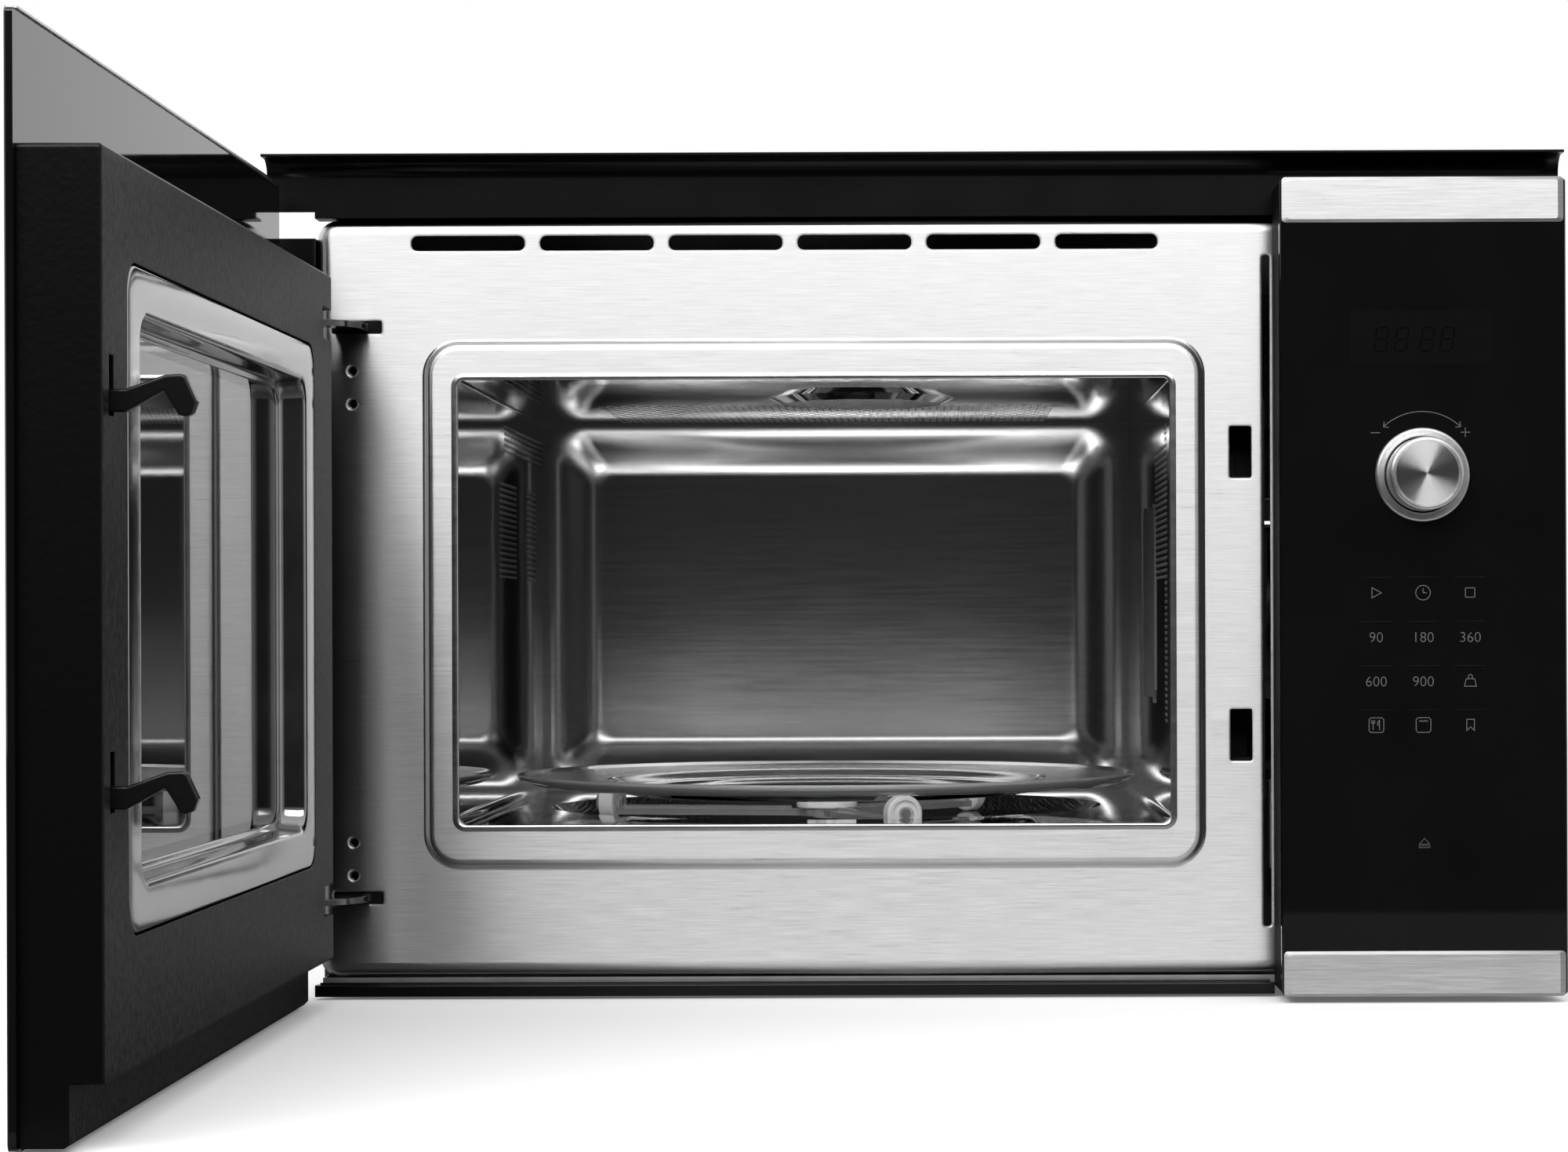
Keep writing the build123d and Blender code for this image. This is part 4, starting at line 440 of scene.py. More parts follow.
def moulded(name, dark, light, rough, scale=1600.0, depth=0.3, metallic=0.0, specular=0.5, round_edge=0.0):
    """Moulded plastic, rubber or sprayed paint with a fine grain and worn patches."""
    made, tree, shader = new_material(name)
    skin = use_group(tree, grain, Scale=scale, Depth=depth)
    shader.inputs["Metallic"].default_value = metallic
    shader.inputs["Specular IOR Level"].default_value = specular
    tree.links.new(shade_between(tree, skin.outputs["Grain"], dark, light), shader.inputs["Base Color"])
    tree.links.new(ramp_between(tree, skin.outputs["Wear"], rough[0], rough[1]), shader.inputs["Roughness"])
    link_normal(tree, shader, skin.outputs["Normal"], round_edge)
    return made


mica = moulded("Mica", (0.11, 0.11, 0.105), (0.16, 0.16, 0.15), (0.35, 0.5), scale=260.0, depth=0.15)
dress(mica, "waveguide_cover")

# Grill reflector, waveguide and outer shell: zinc-plated steel sheet, cut and folded. The casing
# is one sheet tucked into the face plate's roll, and the rear cover is held by screws.
zinc = moulded("Zinc-plated sheet", (0.44, 0.45, 0.46), (0.58, 0.59, 0.60), (0.35, 0.5), scale=90.0,
               depth=0.1, metallic=1.0)
dress(zinc, "grill_reflector", "waveguide", "outer_casing", "rear_cover", "base_plate")

# Grill heaters: two tubes of milky quartz glass, which lie between the reflector and the punched
# field of the roof.
quartz, tree, shader = new_material("Quartz tube")
skin = use_group(tree, grain, Scale=300.0, Depth=0.05)
shader.inputs["Transmission Weight"].default_value = 0.85
shader.inputs["IOR"].default_value = 1.46
tree.links.new(shade_between(tree, skin.outputs["Wear"], grey(0.80), grey(0.97)), shader.inputs["Base Color"])
tree.links.new(ramp_between(tree, skin.outputs["Wear"], 0.15, 0.4), shader.inputs["Roughness"])
dress(quartz, "quartz_tubes")

# Tray hub and rollers: moulded in white heat-proof plastic. The hub is pressed on the motor's
# shaft, and each of the three rollers turns on an axle of the stay.
white_plastic = moulded("White plastic", (0.84, 0.84, 0.83), (0.90, 0.90, 0.89), (0.3, 0.42), scale=900.0,
                        depth=0.15)
dress(white_plastic, "drive_hub", "roller_1", "roller_2", "roller_3")

# Rollers' stay: one flat moulding of clear, slightly milky plastic round the hub's stem. An ear
# on each of its three arms carries a roller's axle. Light passes it, so its shadow is faint.


def lets_light_through(made, tree, shader, share):
    """Clear glass casts only a faint shadow: shadow rays pass it with this share of the light."""
    path = add(tree, "ShaderNodeLightPath")
    clear = add(tree, "ShaderNodeBsdfTransparent")
    clear.inputs["Color"].default_value = (share, share, share, 1.0)
    mixed = add(tree, "ShaderNodeMixShader")
    tree.links.new(path.outputs["Is Shadow Ray"], mixed.inputs["Fac"])
    tree.links.new(shader.outputs["BSDF"], mixed.inputs[1])
    tree.links.new(clear.outputs["BSDF"], mixed.inputs[2])
    tree.links.new(mixed.outputs["Shader"], tree.nodes["Material Output"].inputs["Surface"])


milky, tree, shader = new_material("Clear stay plastic")
skin = use_group(tree, grain, Scale=300.0, Depth=0.05)
shader.inputs["Transmission Weight"].default_value = 0.8
shader.inputs["IOR"].default_value = 1.49
lets_light_through(milky, tree, shader, 0.8)
tree.links.new(shade_between(tree, skin.outputs["Wear"], grey(0.62), grey(0.74)), shader.inputs["Base Color"])
tree.links.new(ramp_between(tree, skin.outputs["Wear"], 0.08, 0.2), shader.inputs["Roughness"])
dress(milky, "roller_stay")

# Tray: a round plate of clear pressed glass that rests on the hub and the rollers. It has a
# stippled band round its flat base and a thicker, cloudier rim.


def lathe(profile, centre, steps):
    """Points and faces of a profile of (radius, height) pairs turned about a line along Z."""
    points = []
    faces = []
    for radius, height in profile:
        for step in range(steps):
            angle = 2 * math.pi * step / steps
            side, up = radius * math.cos(angle), radius * math.sin(angle)
            points.append(Vector((centre[0] + side, centre[1] + up, centre[2] + height)))
    for i in range(len(profile) - 1):
        faces += ring_faces(steps, i * steps, (i + 1) * steps)
    faces = [tuple(reversed(face)) for face in faces]
    return points, faces


tray_glass, tree, shader = new_material("Pressed glass")
skin = use_group(tree, grain, Scale=520.0, Depth=0.0)
shader.inputs["IOR"].default_value = 1.47
lets_light_through(tray_glass, tree, shader, 0.85)
tree.links.new(shade_between(tree, skin.outputs["Wear"], (0.80, 0.81, 0.81), (0.88, 0.89, 0.89)),
               shader.inputs["Base Color"])
place = add(tree, "ShaderNodeTexCoord")
tray_low, tray_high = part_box("glass_tray")
tray_centre = (tray_low + tray_high) / 2
from_middle = add(tree, "ShaderNodeVectorMath", operation="SUBTRACT")
from_middle.inputs[1].default_value = tray_centre
tree.links.new(place.outputs["Object"], from_middle.inputs[0])
flattened = add(tree, "ShaderNodeVectorMath", operation="MULTIPLY")
flattened.inputs[1].default_value = (1.0, 1.0, 0.0)
tree.links.new(from_middle.outputs[0], flattened.inputs[0])
radius = add(tree, "ShaderNodeVectorMath", operation="LENGTH")
tree.links.new(flattened.outputs[0], radius.inputs[0])
stipple_inner_r = 112 * MM
stipple_outer_r = 149 * MM
past_base = math_node(tree, "GREATER_THAN", radius.outputs["Value"], stipple_inner_r)
before_rim = math_node(tree, "LESS_THAN", radius.outputs["Value"], stipple_outer_r)
stippled = math_node(tree, "MULTIPLY", past_base, before_rim)
rim_band = math_node(tree, "GREATER_THAN", radius.outputs["Value"], stipple_outer_r)
stipple_cloud = 0.14
rim_cloud = 0.3
cloudy = math_node(tree, "MULTIPLY", rim_band, rim_cloud)
cloudy = math_node(tree, "MULTIPLY_ADD", stippled, stipple_cloud, cloudy)
tree.links.new(math_node(tree, "SUBTRACT", 1.0, cloudy), shader.inputs["Transmission Weight"])
rough = math_node(tree, "MULTIPLY", stippled, 0.12)
rough = math_node(tree, "MULTIPLY_ADD", skin.outputs["Wear"], 0.05, rough)
tree.links.new(rough, shader.inputs["Roughness"])
pebbles = add(tree, "ShaderNodeTexVoronoi")
pebbles.inputs["Scale"].default_value = 520.0
tree.links.new(place.outputs["Object"], pebbles.inputs["Vector"])
dimple = add(tree, "ShaderNodeBump")
dimple.inputs["Distance"].default_value = 0.0006
tree.links.new(stippled, dimple.inputs["Strength"])
tree.links.new(pebbles.outputs["Distance"], dimple.inputs["Height"])
tree.links.new(dimple.outputs["Normal"], shader.inputs["Normal"])
tray_height = 10.5 * MM
tray_steps = 160
# radius and height in mm, from the middle outwards below and back to the middle above
tray_under = [
    (0.02, 0.0), (60.0, 0.0), (102.0, 0.0), (105.0, 0.6), (107.5, 2.6), (109.5, 3.6), (112.0, 3.75),
    (130.0, 4.1), (147.0, 4.6), (150.0, 5.1), (153.5, 6.4), (156.2, 7.7), (157.4, 9.0), (157.5, 9.8),
    (157.0, 10.4), (155.6, 10.5), (153.4, 10.1),
]
tray_inside = [
    (150.0, 9.2), (146.0, 8.6), (130.0, 8.0), (112.0, 7.6), (108.0, 7.2), (105.0, 6.0), (102.0, 4.4),
    (99.0, 4.0), (60.0, 4.0), (0.02, 4.0),
]
tray_profile = [(r * MM, z * MM) for r, z in tray_under + tray_inside]
tray_at = (tray_centre.x, tray_centre.y, tray_high.z - tray_height)
tray_points, tray_faces = lathe(tray_profile, tray_at, tray_steps)
tray = mesh_piece("pressed_tray", tray_points, tray_faces, tray_glass, "tray", "clear_glass")
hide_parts("glass_tray")

# Motors, magnetron, door opener and lamp: bought units in cans and frames of passivated steel,
# each fixed at its own place round the cavity.
motor_steel = moulded("Passivated steel", (0.40, 0.39, 0.36), (0.52, 0.51, 0.47), (0.35, 0.5), scale=240.0,
                      depth=0.1, metallic=1.0)
dress(motor_steel, "tray_motor", "fan_motor", "magnetron", "door_opener", "cavity_lamp")

# Transformer: a core of stacked steel laminations on its feet, with its two windings, all under
# one dark lacquer.
core_steel = brushed_metal("Stacked core", grey(0.10), (0.26, 0.25, 0.24), (0.45, 0.6),
                           (30.0, 900.0, 30.0), 0.4)
dress(core_steel, "transformer")

# Capacitor: an oval can of drawn aluminium with faint drawing marks, which stands in its clamp
# strap.
can = brushed_metal("Aluminium can", (0.62, 0.62, 0.63), (0.74, 0.74, 0.75), (0.3, 0.42),
                    (40.0, 40.0, 500.0), 0.1)
dress(can, "capacitor")

# Circuit boards: glass-fibre sheet under green lacquer. The control board is screwed to its
# housing behind the encoder, and the power board is in the casing.
board = moulded("Board lacquer", (0.02, 0.09, 0.045), (0.04, 0.15, 0.07), (0.3, 0.45), scale=600.0, depth=0.2)
dress(board, "control_board", "power_board")

# Fan duct, fan wheel and dial encoder: grey mouldings, out of sight. The duct and the encoder are
# fixed, and the wheel is pressed on the fan motor's shaft.
grey_plastic = moulded("Grey plastic", (0.24, 0.25, 0.26), (0.32, 0.33, 0.34), (0.4, 0.55))
dress(grey_plastic, "fan_duct", "fan_impeller", "encoder")

# Interlock bracket and door switches: black mouldings behind the plate's latch slots. The bracket
# carries the catch ledges and the three switches.
black_plastic = moulded("Black plastic", grey(0.004), grey(0.009), (0.4, 0.55), specular=0.2)
dress(black_plastic, "door_switches", "interlock_bracket")

# Pins, shaft, plunger, spring and screws: small turned or wound parts in bright steel. The hinge
# pins are riveted into the brackets' arms.
bright_steel = brushed_metal("Turned steel", grey(0.52), grey(0.66), (0.18, 0.3), (300.0, 300.0, 40.0), 0.1)
dress(bright_steel, "hinge_pins", "dial_shaft", "opener_plunger", "latch_spring", "cover_screws")

# Feet and cable gland: black rubber. The feet are under the base plate, and the gland sits in
# the hole of the rear cover.
rubber = moulded("Rubber", grey(0.012), grey(0.028), (0.6, 0.8), scale=900.0, depth=0.4)
dress(rubber, "feet", "cable_gland")

# Face plate: one pressing of stainless sheet, ground from side to side, with a raised frame round
# the mouth. Its bend at the top carries a painted reflection: a dark band where the black flange
# above it is mirrored in the bend. The frame's soft flank and the rolled edge of the mouth are
# separate fine meshes in front of it.
plate_steel = brushed_metal(
    "Face plate steel", grey(0.64), grey(0.78), (0.26, 0.32), (45.0, 1400.0, 1400.0),
    0.08, anisotropy=1.0, round_edge=1.6 * MM,
)
tree = plate_steel.node_tree
shader = tree.nodes["Principled BSDF"]
steel = shader.inputs["Base Color"].links[0].from_socket
plate_top_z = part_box("face_plate")[1].z
reflection_band_low_z = plate_top_z - 3.6 * MM
reflection_band_high_z = plate_top_z - 0.5 * MM
flange_reflection_dark = grey(0.05)
axes = axes_of(tree)
# painted reflection: a dark band on the plate's top bend, standing in for the black flange mirrored there
above_low = math_node(tree, "GREATER_THAN", axes["Z"], reflection_band_low_z)
below_high = math_node(tree, "LESS_THAN", axes["Z"], reflection_band_high_z)
steel = painted_over(tree, steel, math_node(tree, "MULTIPLY", above_low, below_high), flange_reflection_dark)
tree.links.new(steel, shader.inputs["Base Color"])
dress(plate_steel, "face_plate")


def loops_round(span_x, span_z, corner, section):
    """Rounded loops round a rectangle; the section pairs a distance outside it in mm with a Y."""
    return [
        rounded_loop(
            (span_x[0] - outside * MM, span_x[1] + outside * MM),
            (span_z[0] - outside * MM, span_z[1] + outside * MM), (corner + outside) * MM, y,
        )
        for outside, y in section
    ]


plate_front_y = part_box("face_plate")[0].y
opening_x = (-209.8 * MM, 118.1 * MM)
opening_z = (79.5 * MM, 284.7 * MM)
opening_corner = 3.4
# width of the raised frame at each side, below and above
pressed_side, pressed_foot, pressed_head = 13.3 * MM, 17.7 * MM, 15.8 * MM
pressed_corner = 14.0
pressed_x = (opening_x[0] - pressed_side, opening_x[1] + pressed_side)
pressed_z = (opening_z[0] - pressed_foot, opening_z[1] + pressed_head)
# distance outside the frame, and the share of its height still standing there
flank_section = (
    (2.8, 0.012), (2.4, 0.05), (1.9, 0.14), (1.4, 0.29), (0.9, 0.50), (0.4, 0.72), (-0.1, 0.90),
    (-0.7, 0.99), (-1.6, 1.02),
)
flank_at = [(outside, plate_front_y * share) for outside, share in flank_section]
flank_loops = loops_round(pressed_x, pressed_z, pressed_corner, flank_at)
mesh_piece("frame_flank", *loft_loops(flank_loops), plate_steel, slot="cavity_steel")
# distance outside the opening and depth behind the frame's face of the rolled mouth edge
roll_section = (
    (2.6, -0.02), (1.9, -0.12), (1.2, -0.24), (0.6, -0.26), (0.1, -0.16), (-0.3, 0.1), (-0.45, 0.6),
    (-0.4, 1.3), (-0.1, 2.2), (0.0, 3.0),
)
roll_at = [(outside, plate_front_y + depth * MM) for outside, depth in roll_section]
roll_loops = loops_round(opening_x, opening_z, opening_corner, roll_at)
# The rolled edge is the plate's own sheet drawn lighter than the plate: a painted highlight along the mouth.
mouth_edge_highlight_steel = brushed_metal("Rolled edge with painted highlight", grey(0.72), grey(0.86), (0.16, 0.22), (45.0, 300.0, 300.0),
                            0.03)
mesh_piece("mouth_roll", *loft_loops(roll_loops), mouth_edge_highlight_steel, slot="cavity_steel")

# Hinge brackets and plates: pressed steel with a smooth dark plating. The brackets are screwed
# on, and the plates lie in the door frame, with an eye round each hinge pin.
hinge_steel = brushed_metal("Hinge steel", grey(0.14), grey(0.24), (0.08, 0.15), (60.0, 60.0, 60.0),
                            0.05, round_edge=0.5 * MM)
dress(hinge_steel, "hinge_bracket_upper", "hinge_bracket_lower", "hinge_plates")

# Trims against the niche: a flange above, a bracket at the side and a sill below, folded from
# steel sheet and sprayed in semi-gloss black enamel.
enamel = moulded("Black enamel", grey(0.002), grey(0.004), (0.16, 0.24), scale=700.0,
                 depth=0.04, specular=0.3, round_edge=0.6 * MM)
dress(enamel, "top_flange", "side_bracket", "bottom_sill")

# Front glasses of the door and the control panel: flat clear glass with a black print all over
# its back, so it is drawn black right through.
front_glass, tree, shader = new_material("Black glass")
skin = use_group(tree, grain, Scale=60.0, Depth=0.0)
tree.links.new(shade_between(tree, skin.outputs["Wear"], grey(0.003), grey(0.006)),
               shader.inputs["Base Color"])
tree.links.new(ramp_between(tree, skin.outputs["Wear"], 0.02, 0.06), shader.inputs["Roughness"])
dress(front_glass, "door_glass", "control_glass")

# Door frame: one black moulding behind the door's glass. Its inner face, which looks to the right
# while the door stands open, has a coarse spark-eroded grain, and its edges are smoother.
frame_plastic, tree, shader = new_material("Door frame plastic")
skin = use_group(tree, grain, Scale=360.0, Depth=0.9)
inner_face_share = 0.9
textured = math_node(tree, "GREATER_THAN", axes_of(tree, "Normal")["X"], inner_face_share)
speckle = math_node(tree, "MULTIPLY_ADD", skin.outputs["Grain"], 3.2, -1.1)
grained = math_node(tree, "MULTIPLY", speckle, textured)
tree.links.new(shade_between(tree, grained, grey(0.003), grey(0.030)), shader.inputs["Base Color"])
tree.links.new(ramp_between(tree, textured, 0.25, 0.48), shader.inputs["Roughness"])
tree.links.new(ramp_between(tree, textured, 0.22, 0.14), shader.inputs["Specular IOR Level"])
link_normal(tree, shader, skin.outputs["Normal"], 1.0 * MM)
dress(frame_plastic, "door_frame")

# Control housing: a dull black moulding behind the panel's glass, which holds the control board
# and the dial's encoder.
housing_plastic = moulded("Housing plastic", grey(0.004), grey(0.008), (0.55, 0.65), scale=900.0,
                          specular=0.04)
dress(housing_plastic, "control_housing")

# Door screen: thin perforated steel sheet, blackened, spot-welded to the shelf of the window
# frame and seen through the pane. Its holes are darker dots here, on a closed sheet.
mesh_black, tree, shader = new_material("Perforated screen")
field = use_group(tree, holes, **{"U low": -1.0, "U high": 1.0, "V low": -1.0, "V high": 1.0,
                                  "Pitch": 0.0018, "Radius": 0.00062})
axes = axes_of(tree)
tree.links.new(axes["Y"], field.inputs["U"])
tree.links.new(axes["Z"], field.inputs["V"])
tree.links.new(shade_between(tree, field.outputs["Hole"], grey(0.030), grey(0.008)),
               shader.inputs["Base Color"])
shader.inputs["Roughness"].default_value = 0.45
dress(mesh_black, "mesh_screen")

# Window pane: a flat sheet of grey-tinted glass that lies on the shelf of the window frame, so
# the inside of the door can be wiped clean.
pane_glass, tree, shader = new_material("Pane glass")
skin = use_group(tree, grain, Scale=60.0, Depth=0.0)
shader.inputs["Transmission Weight"].default_value = 1.0
shader.inputs["IOR"].default_value = 1.52
tree.links.new(shade_between(tree, skin.outputs["Wear"], grey(0.42), grey(0.48)), shader.inputs["Base Color"])
tree.links.new(ramp_between(tree, skin.outputs["Wear"], 0.0, 0.02), shader.inputs["Roughness"])
dress(pane_glass, "window_pane")

# Window frame: one deep-drawn stainless pressing, stepped down twice from its ring to the shelf
# that holds the pane. It is worked out as in a shut door and then turned to the open place, in
# which the object rests.
window_steel = brushed_metal("Window frame steel", grey(0.34), grey(0.42), (0.08, 0.15),
                             (20.0, 16.0, 18.0), 0.9)
frame_low, frame_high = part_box("window_frame")
shut_y_shift = 257.0 * MM
shut_x_shift = -313.0 * MM
ring_y = frame_high.x + shut_y_shift
ring_span_x = (shut_x_shift - frame_high.y, shut_x_shift - frame_low.y)
ring_span_z = (frame_low.z, frame_high.z)
# inset at the sides, inset at top and bottom, depth below the ring's face, corner radius, all in mm
frame_section = (
    (0.0, 0.0, 1.6, 12.0), (0.1, 0.1, 0.8, 12.0), (0.5, 0.5, 0.2, 11.8), (1.2, 1.2, 0.0, 11.5),
    (8.0, 7.0, 0.0, 11.5), (17.6, 14.1, 0.0, 11.5), (18.8, 15.3, 0.15, 11.3), (19.5, 16.0, 0.6, 11.0),
    (19.9, 16.4, 1.4, 10.8), (20.2, 16.7, 3.4, 10.6), (20.8, 17.3, 8.4, 10.0), (21.2, 17.7, 10.2, 9.6),
    (22.0, 18.5, 11.0, 9.0), (23.0, 19.5, 11.3, 8.6), (23.8, 20.3, 11.7, 8.2), (24.2, 20.7, 12.5, 8.0),
    (24.5, 21.0, 14.2, 7.8), (25.0, 21.5, 14.8, 7.6), (26.0, 22.5, 15.0, 7.2), (27.4, 23.9, 15.0, 6.6),
)
frame_loops = []
for side, end, depth, corner in frame_section:
    loop = rounded_loop(
        (ring_span_x[0] + side * MM, ring_span_x[1] - side * MM),
        (ring_span_z[0] + end * MM, ring_span_z[1] - end * MM), corner * MM, ring_y - depth * MM,
    )
    frame_loops.append([Vector((p.y - shut_y_shift, shut_x_shift - p.x, p.z)) for p in loop])
drawn_frame = mesh_piece("drawn_frame", *loft_loops(frame_loops), window_steel, "door", "cavity_steel")
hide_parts("window_frame")

# Latch: one glass-filled black moulding, a bar with two hooks that slides in guides in the door
# frame. It is worn glossy where it runs.
latch_plastic = moulded("Latch plastic", grey(0.004), grey(0.008), (0.14, 0.22), scale=500.0, depth=0.05,
                        round_edge=0.7 * MM)
dress(latch_plastic, "latch_bar")

# Trim strips: bevelled stainless, ground lengthways and wrapped over the top and bottom edges of
# the two glasses. The lower strips carry painted shade: the same steel drawn darker, for the shade
# they lie in.
strip_grind = {"rough": (0.26, 0.32), "scale": (45.0, 45.0, 1400.0), "depth": 0.05, "anisotropy": 1.0}
strip_steel = brushed_metal("Strip steel", grey(0.52), grey(0.70), **strip_grind)
dress(strip_steel, "panel_strip_top", "door_strip_top")
# painted shade: the lower strips are a darker copy of the strip steel
shaded_strip_steel = brushed_metal("Lower strip steel, painted shade", grey(0.38), grey(0.52), **strip_grind)
dress(shaded_strip_steel, "panel_strip_bottom", "door_strip_bottom")

# Dial: a fixed bezel ring and a rim in satin metal, and in them a spun disc whose fine grooves
# catch the light in two cones. The knob's pieces are carried by the encoder's shaft.
disc_low, disc_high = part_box("knob_disc")
disc_centre = (disc_low + disc_high) / 2
satin_ring = brushed_metal("Satin bezel", grey(0.72), grey(0.82), (0.30, 0.38), (400.0, 400.0, 400.0), 0.05,
                           anisotropy=0.6, centre=disc_centre)
spun = brushed_metal("Spun disc", grey(0.74), grey(0.80), (0.21, 0.24), (2500.0, 2500.0, 2500.0), 0.0,
                     anisotropy=1.0, centre=disc_centre)
dress(satin_ring, "knob_bezel", "knob_rim")
dress(spun, "knob_disc")

# Printed marks: grey screen print. The real print is fired on the back of the panel's clear
# glass, and here it lies a hair in front of the glass, which is drawn black all through.
print_grey = moulded("Screen print", grey(0.13), grey(0.17), (0.5, 0.6), scale=400.0, depth=0.05)
print_faint = moulded("Faint print", grey(0.012), grey(0.016), (0.3, 0.4), scale=400.0, depth=0.05)
glass_face_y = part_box("control_glass")[0].y
print_y = glass_face_y - 0.06 * MM
# height of a figure over the font's size, and how much thinner its strokes are made
figure_share = 0.69
stroke_offset = -0.13 * MM


def printed_text(name, words, x, z, height):
    """Flat lettering that faces the front, with its middle at x, z."""
    curve = bpy.data.curves.new(name, "FONT")
    curve.body = words
    curve.size = height / figure_share
    curve.align_x = "CENTER"
    curve.align_y = "CENTER"
    curve.resolution_u = 4
    curve.offset = stroke_offset
    curve.materials.append(print_grey)
    piece = bpy.data.objects.new(name, curve)
    piece.rotation_euler = (math.radians(90), 0, 0)
    piece.location = (x, print_y, z)
    bpy.context.scene.collection.objects.link(piece)
    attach(piece, "root")


def printed_lines(name, strokes, x, z, width, finish=print_grey):
    """Line drawing of open (or closed) runs of (x, z) points in millimetres about x, z."""
    points = []
    faces = []
    for stroke in strokes:
        closed = stroke[0] == stroke[-1]
        run = [Vector(p) for p in (stroke[:-1] if closed else stroke)]
        first = len(points)
        for i, here in enumerate(run):
            before = run[i - 1] if (i or closed) else here
            after = run[(i + 1) % len(run)] if (i + 1 < len(run) or closed) else here
            into = (here - before).normalized()
            out = (after - here).normalized()
            tangent = (into + out).normalized() if (into + out).length > 1e-6 else (out or into)
            side = Vector((-tangent.y, tangent.x))
            turn = max(0.4, side.dot(Vector((-out.y, out.x))) if out.length else 1.0)
            for edge in (0.5, -0.5):
                at = here + side * width * edge / turn
                points.append(Vector((x + at.x * MM, print_y, z + at.y * MM)))
        spans = len(run) if closed else len(run) - 1
        for i in range(spans):
            a = first + 2 * i
            b = first + 2 * ((i + 1) % len(run))
            faces.append((a, a + 1, b + 1, b))
    mesh_piece(name, points, faces, finish, slot="display", smooth=False)


def arc(centre_x, centre_z, radius, start, stop, steps=24):
    """Points along an arc, angles in degrees from the right, in millimetres."""
    run = []
    for step in range(steps + 1):
        angle = math.radians(start + (stop - start) * step / steps)
        run.append((centre_x + radius * math.cos(angle), centre_z + radius * math.sin(angle)))
    return run


def square(half, cut=0.0):
    side = [(-half + cut, half), (-half, half - cut), (-half, -half + cut), (-half + cut, -half)]
    side += [(half - cut, -half), (half, -half + cut), (half, half - cut), (half - cut, half)]
    return side + [side[0]]


key_columns = (208.3 * MM, 229.5 * MM, 250.7 * MM)
key_rows = (184.9 * MM, 165.0 * MM, 145.1 * MM, 125.3 * MM)
digit_height = 4.6 * MM
digit_drop = 0.4 * MM
key_line = 0.32
numbers = {(1, 0): "90", (1, 1): "180", (1, 2): "360", (2, 0): "600", (2, 1): "900"}
for (row, column), words in numbers.items():
    printed_text(f"key_number_{words}", words, key_columns[column], key_rows[row] - digit_drop, digit_height)
icons = {
    "key_start": ((0, 0), [[(-1.8, 2.3), (-1.8, -2.3), (2.4, 0.0), (-1.8, 2.3)]]),
    "key_clock": ((0, 1), [arc(0, 0, 3.3, 0, 360), [(0, 1.9), (0, 0), (1.6, 0)]]),
    "key_stop": ((0, 2), [square(2.1)]),
    "key_weight": ((2, 2), [
        [(-2.7, -2.4), (-1.9, 0.9), (1.9, 0.9), (2.7, -2.4), (-2.7, -2.4)], arc(0, 1.9, 0.95, 0, 360, 14),
    ]),
    "key_dish": ((3, 0), [
        square(3.3, 0.8), [(-1.5, -2.2), (-1.5, 2.2)], [(-2.2, 2.2), (-2.2, 0.9), (-0.8, 0.9), (-0.8, 2.2)],
        [(1.4, -2.2), (1.4, 2.2), (0.6, 1.4), (0.6, 0.0), (1.4, 0.0)],
    ]),
    "key_grill": ((3, 1), [
        square(3.3, 0.8), [(-2.0, 1.5), (-1.2, 2.1), (-0.4, 1.5), (0.4, 2.1), (1.2, 1.5), (2.0, 2.1)],
    ]),
    "key_memory": ((3, 2), [[(-1.7, -2.5), (-1.7, 2.5), (1.7, 2.5), (1.7, -2.5), (0.0, -0.9), (-1.7, -2.5)]]),
}
for name, ((row, column), strokes) in icons.items():
    printed_lines(name, strokes, key_columns[column], key_rows[row], key_line)
door_icon_x = 229.8 * MM
door_icon_z = 72.3 * MM
door_icon_line = 0.18
printed_lines("key_door", [[(-2.4, -0.6), (0.0, 1.9), (2.4, -0.6), (-2.4, -0.6)],
                           [(-2.4, -2.2), (2.4, -2.2), (2.4, -1.4), (-2.4, -1.4), (-2.4, -2.2)]],
              door_icon_x, door_icon_z, door_icon_line)
key_mark = [(-7.0, 0.0), (7.0, 0.0)]
key_mark_rise = 7.0 * MM
key_mark_line = 0.12
for column, x in enumerate(key_columns):
    for row, z in enumerate(key_rows):
        name = f"key_mark_{row}_{column}"
        printed_lines(name, [key_mark], x, z + key_mark_rise, key_mark_line, print_faint)
knob_x = 229.3 * MM
knob_z = 238.0 * MM
dial_line = 0.3
dial_arc = arc(0, 3.1, 25.4, 46.8, 133.2, 40)
printed_lines("dial_arc", [dial_arc], knob_x, knob_z, dial_line)
for name, side in (("dial_arrow_left", -1), ("dial_arrow_right", 1)):
    arrow = [(side * 17.0, 23.95), (side * 17.4, 21.6), (side * 15.0, 21.4)]
    printed_lines(name, [arrow], knob_x, knob_z, dial_line)
level_bar = [(-2.1, 0), (2.1, 0)]
upright_bar = [(0, -2.1), (0, 2.1)]
printed_lines("dial_minus", [level_bar], 208.3 * MM, 257.0 * MM, dial_line)
printed_lines("dial_plus", [level_bar, upright_bar], 248.8 * MM, 257.1 * MM, dial_line)

# Display: a module behind the panel's glass with four slanted figures of seven bars and a colon,
# all unlit, in a window that is a little less black than the glass.
display_black = moulded("Display block", grey(0.01), grey(0.02), (0.3, 0.4))
dress(display_black, "display_module")
bar_long = 5.3
bar_thick = 0.75
bar_gap = 0.35
figure_lean = 0.14
bar_places = ((0, 2), (0, 0), (0, -2), (-1, 1), (1, 1), (-1, -1), (1, -1))


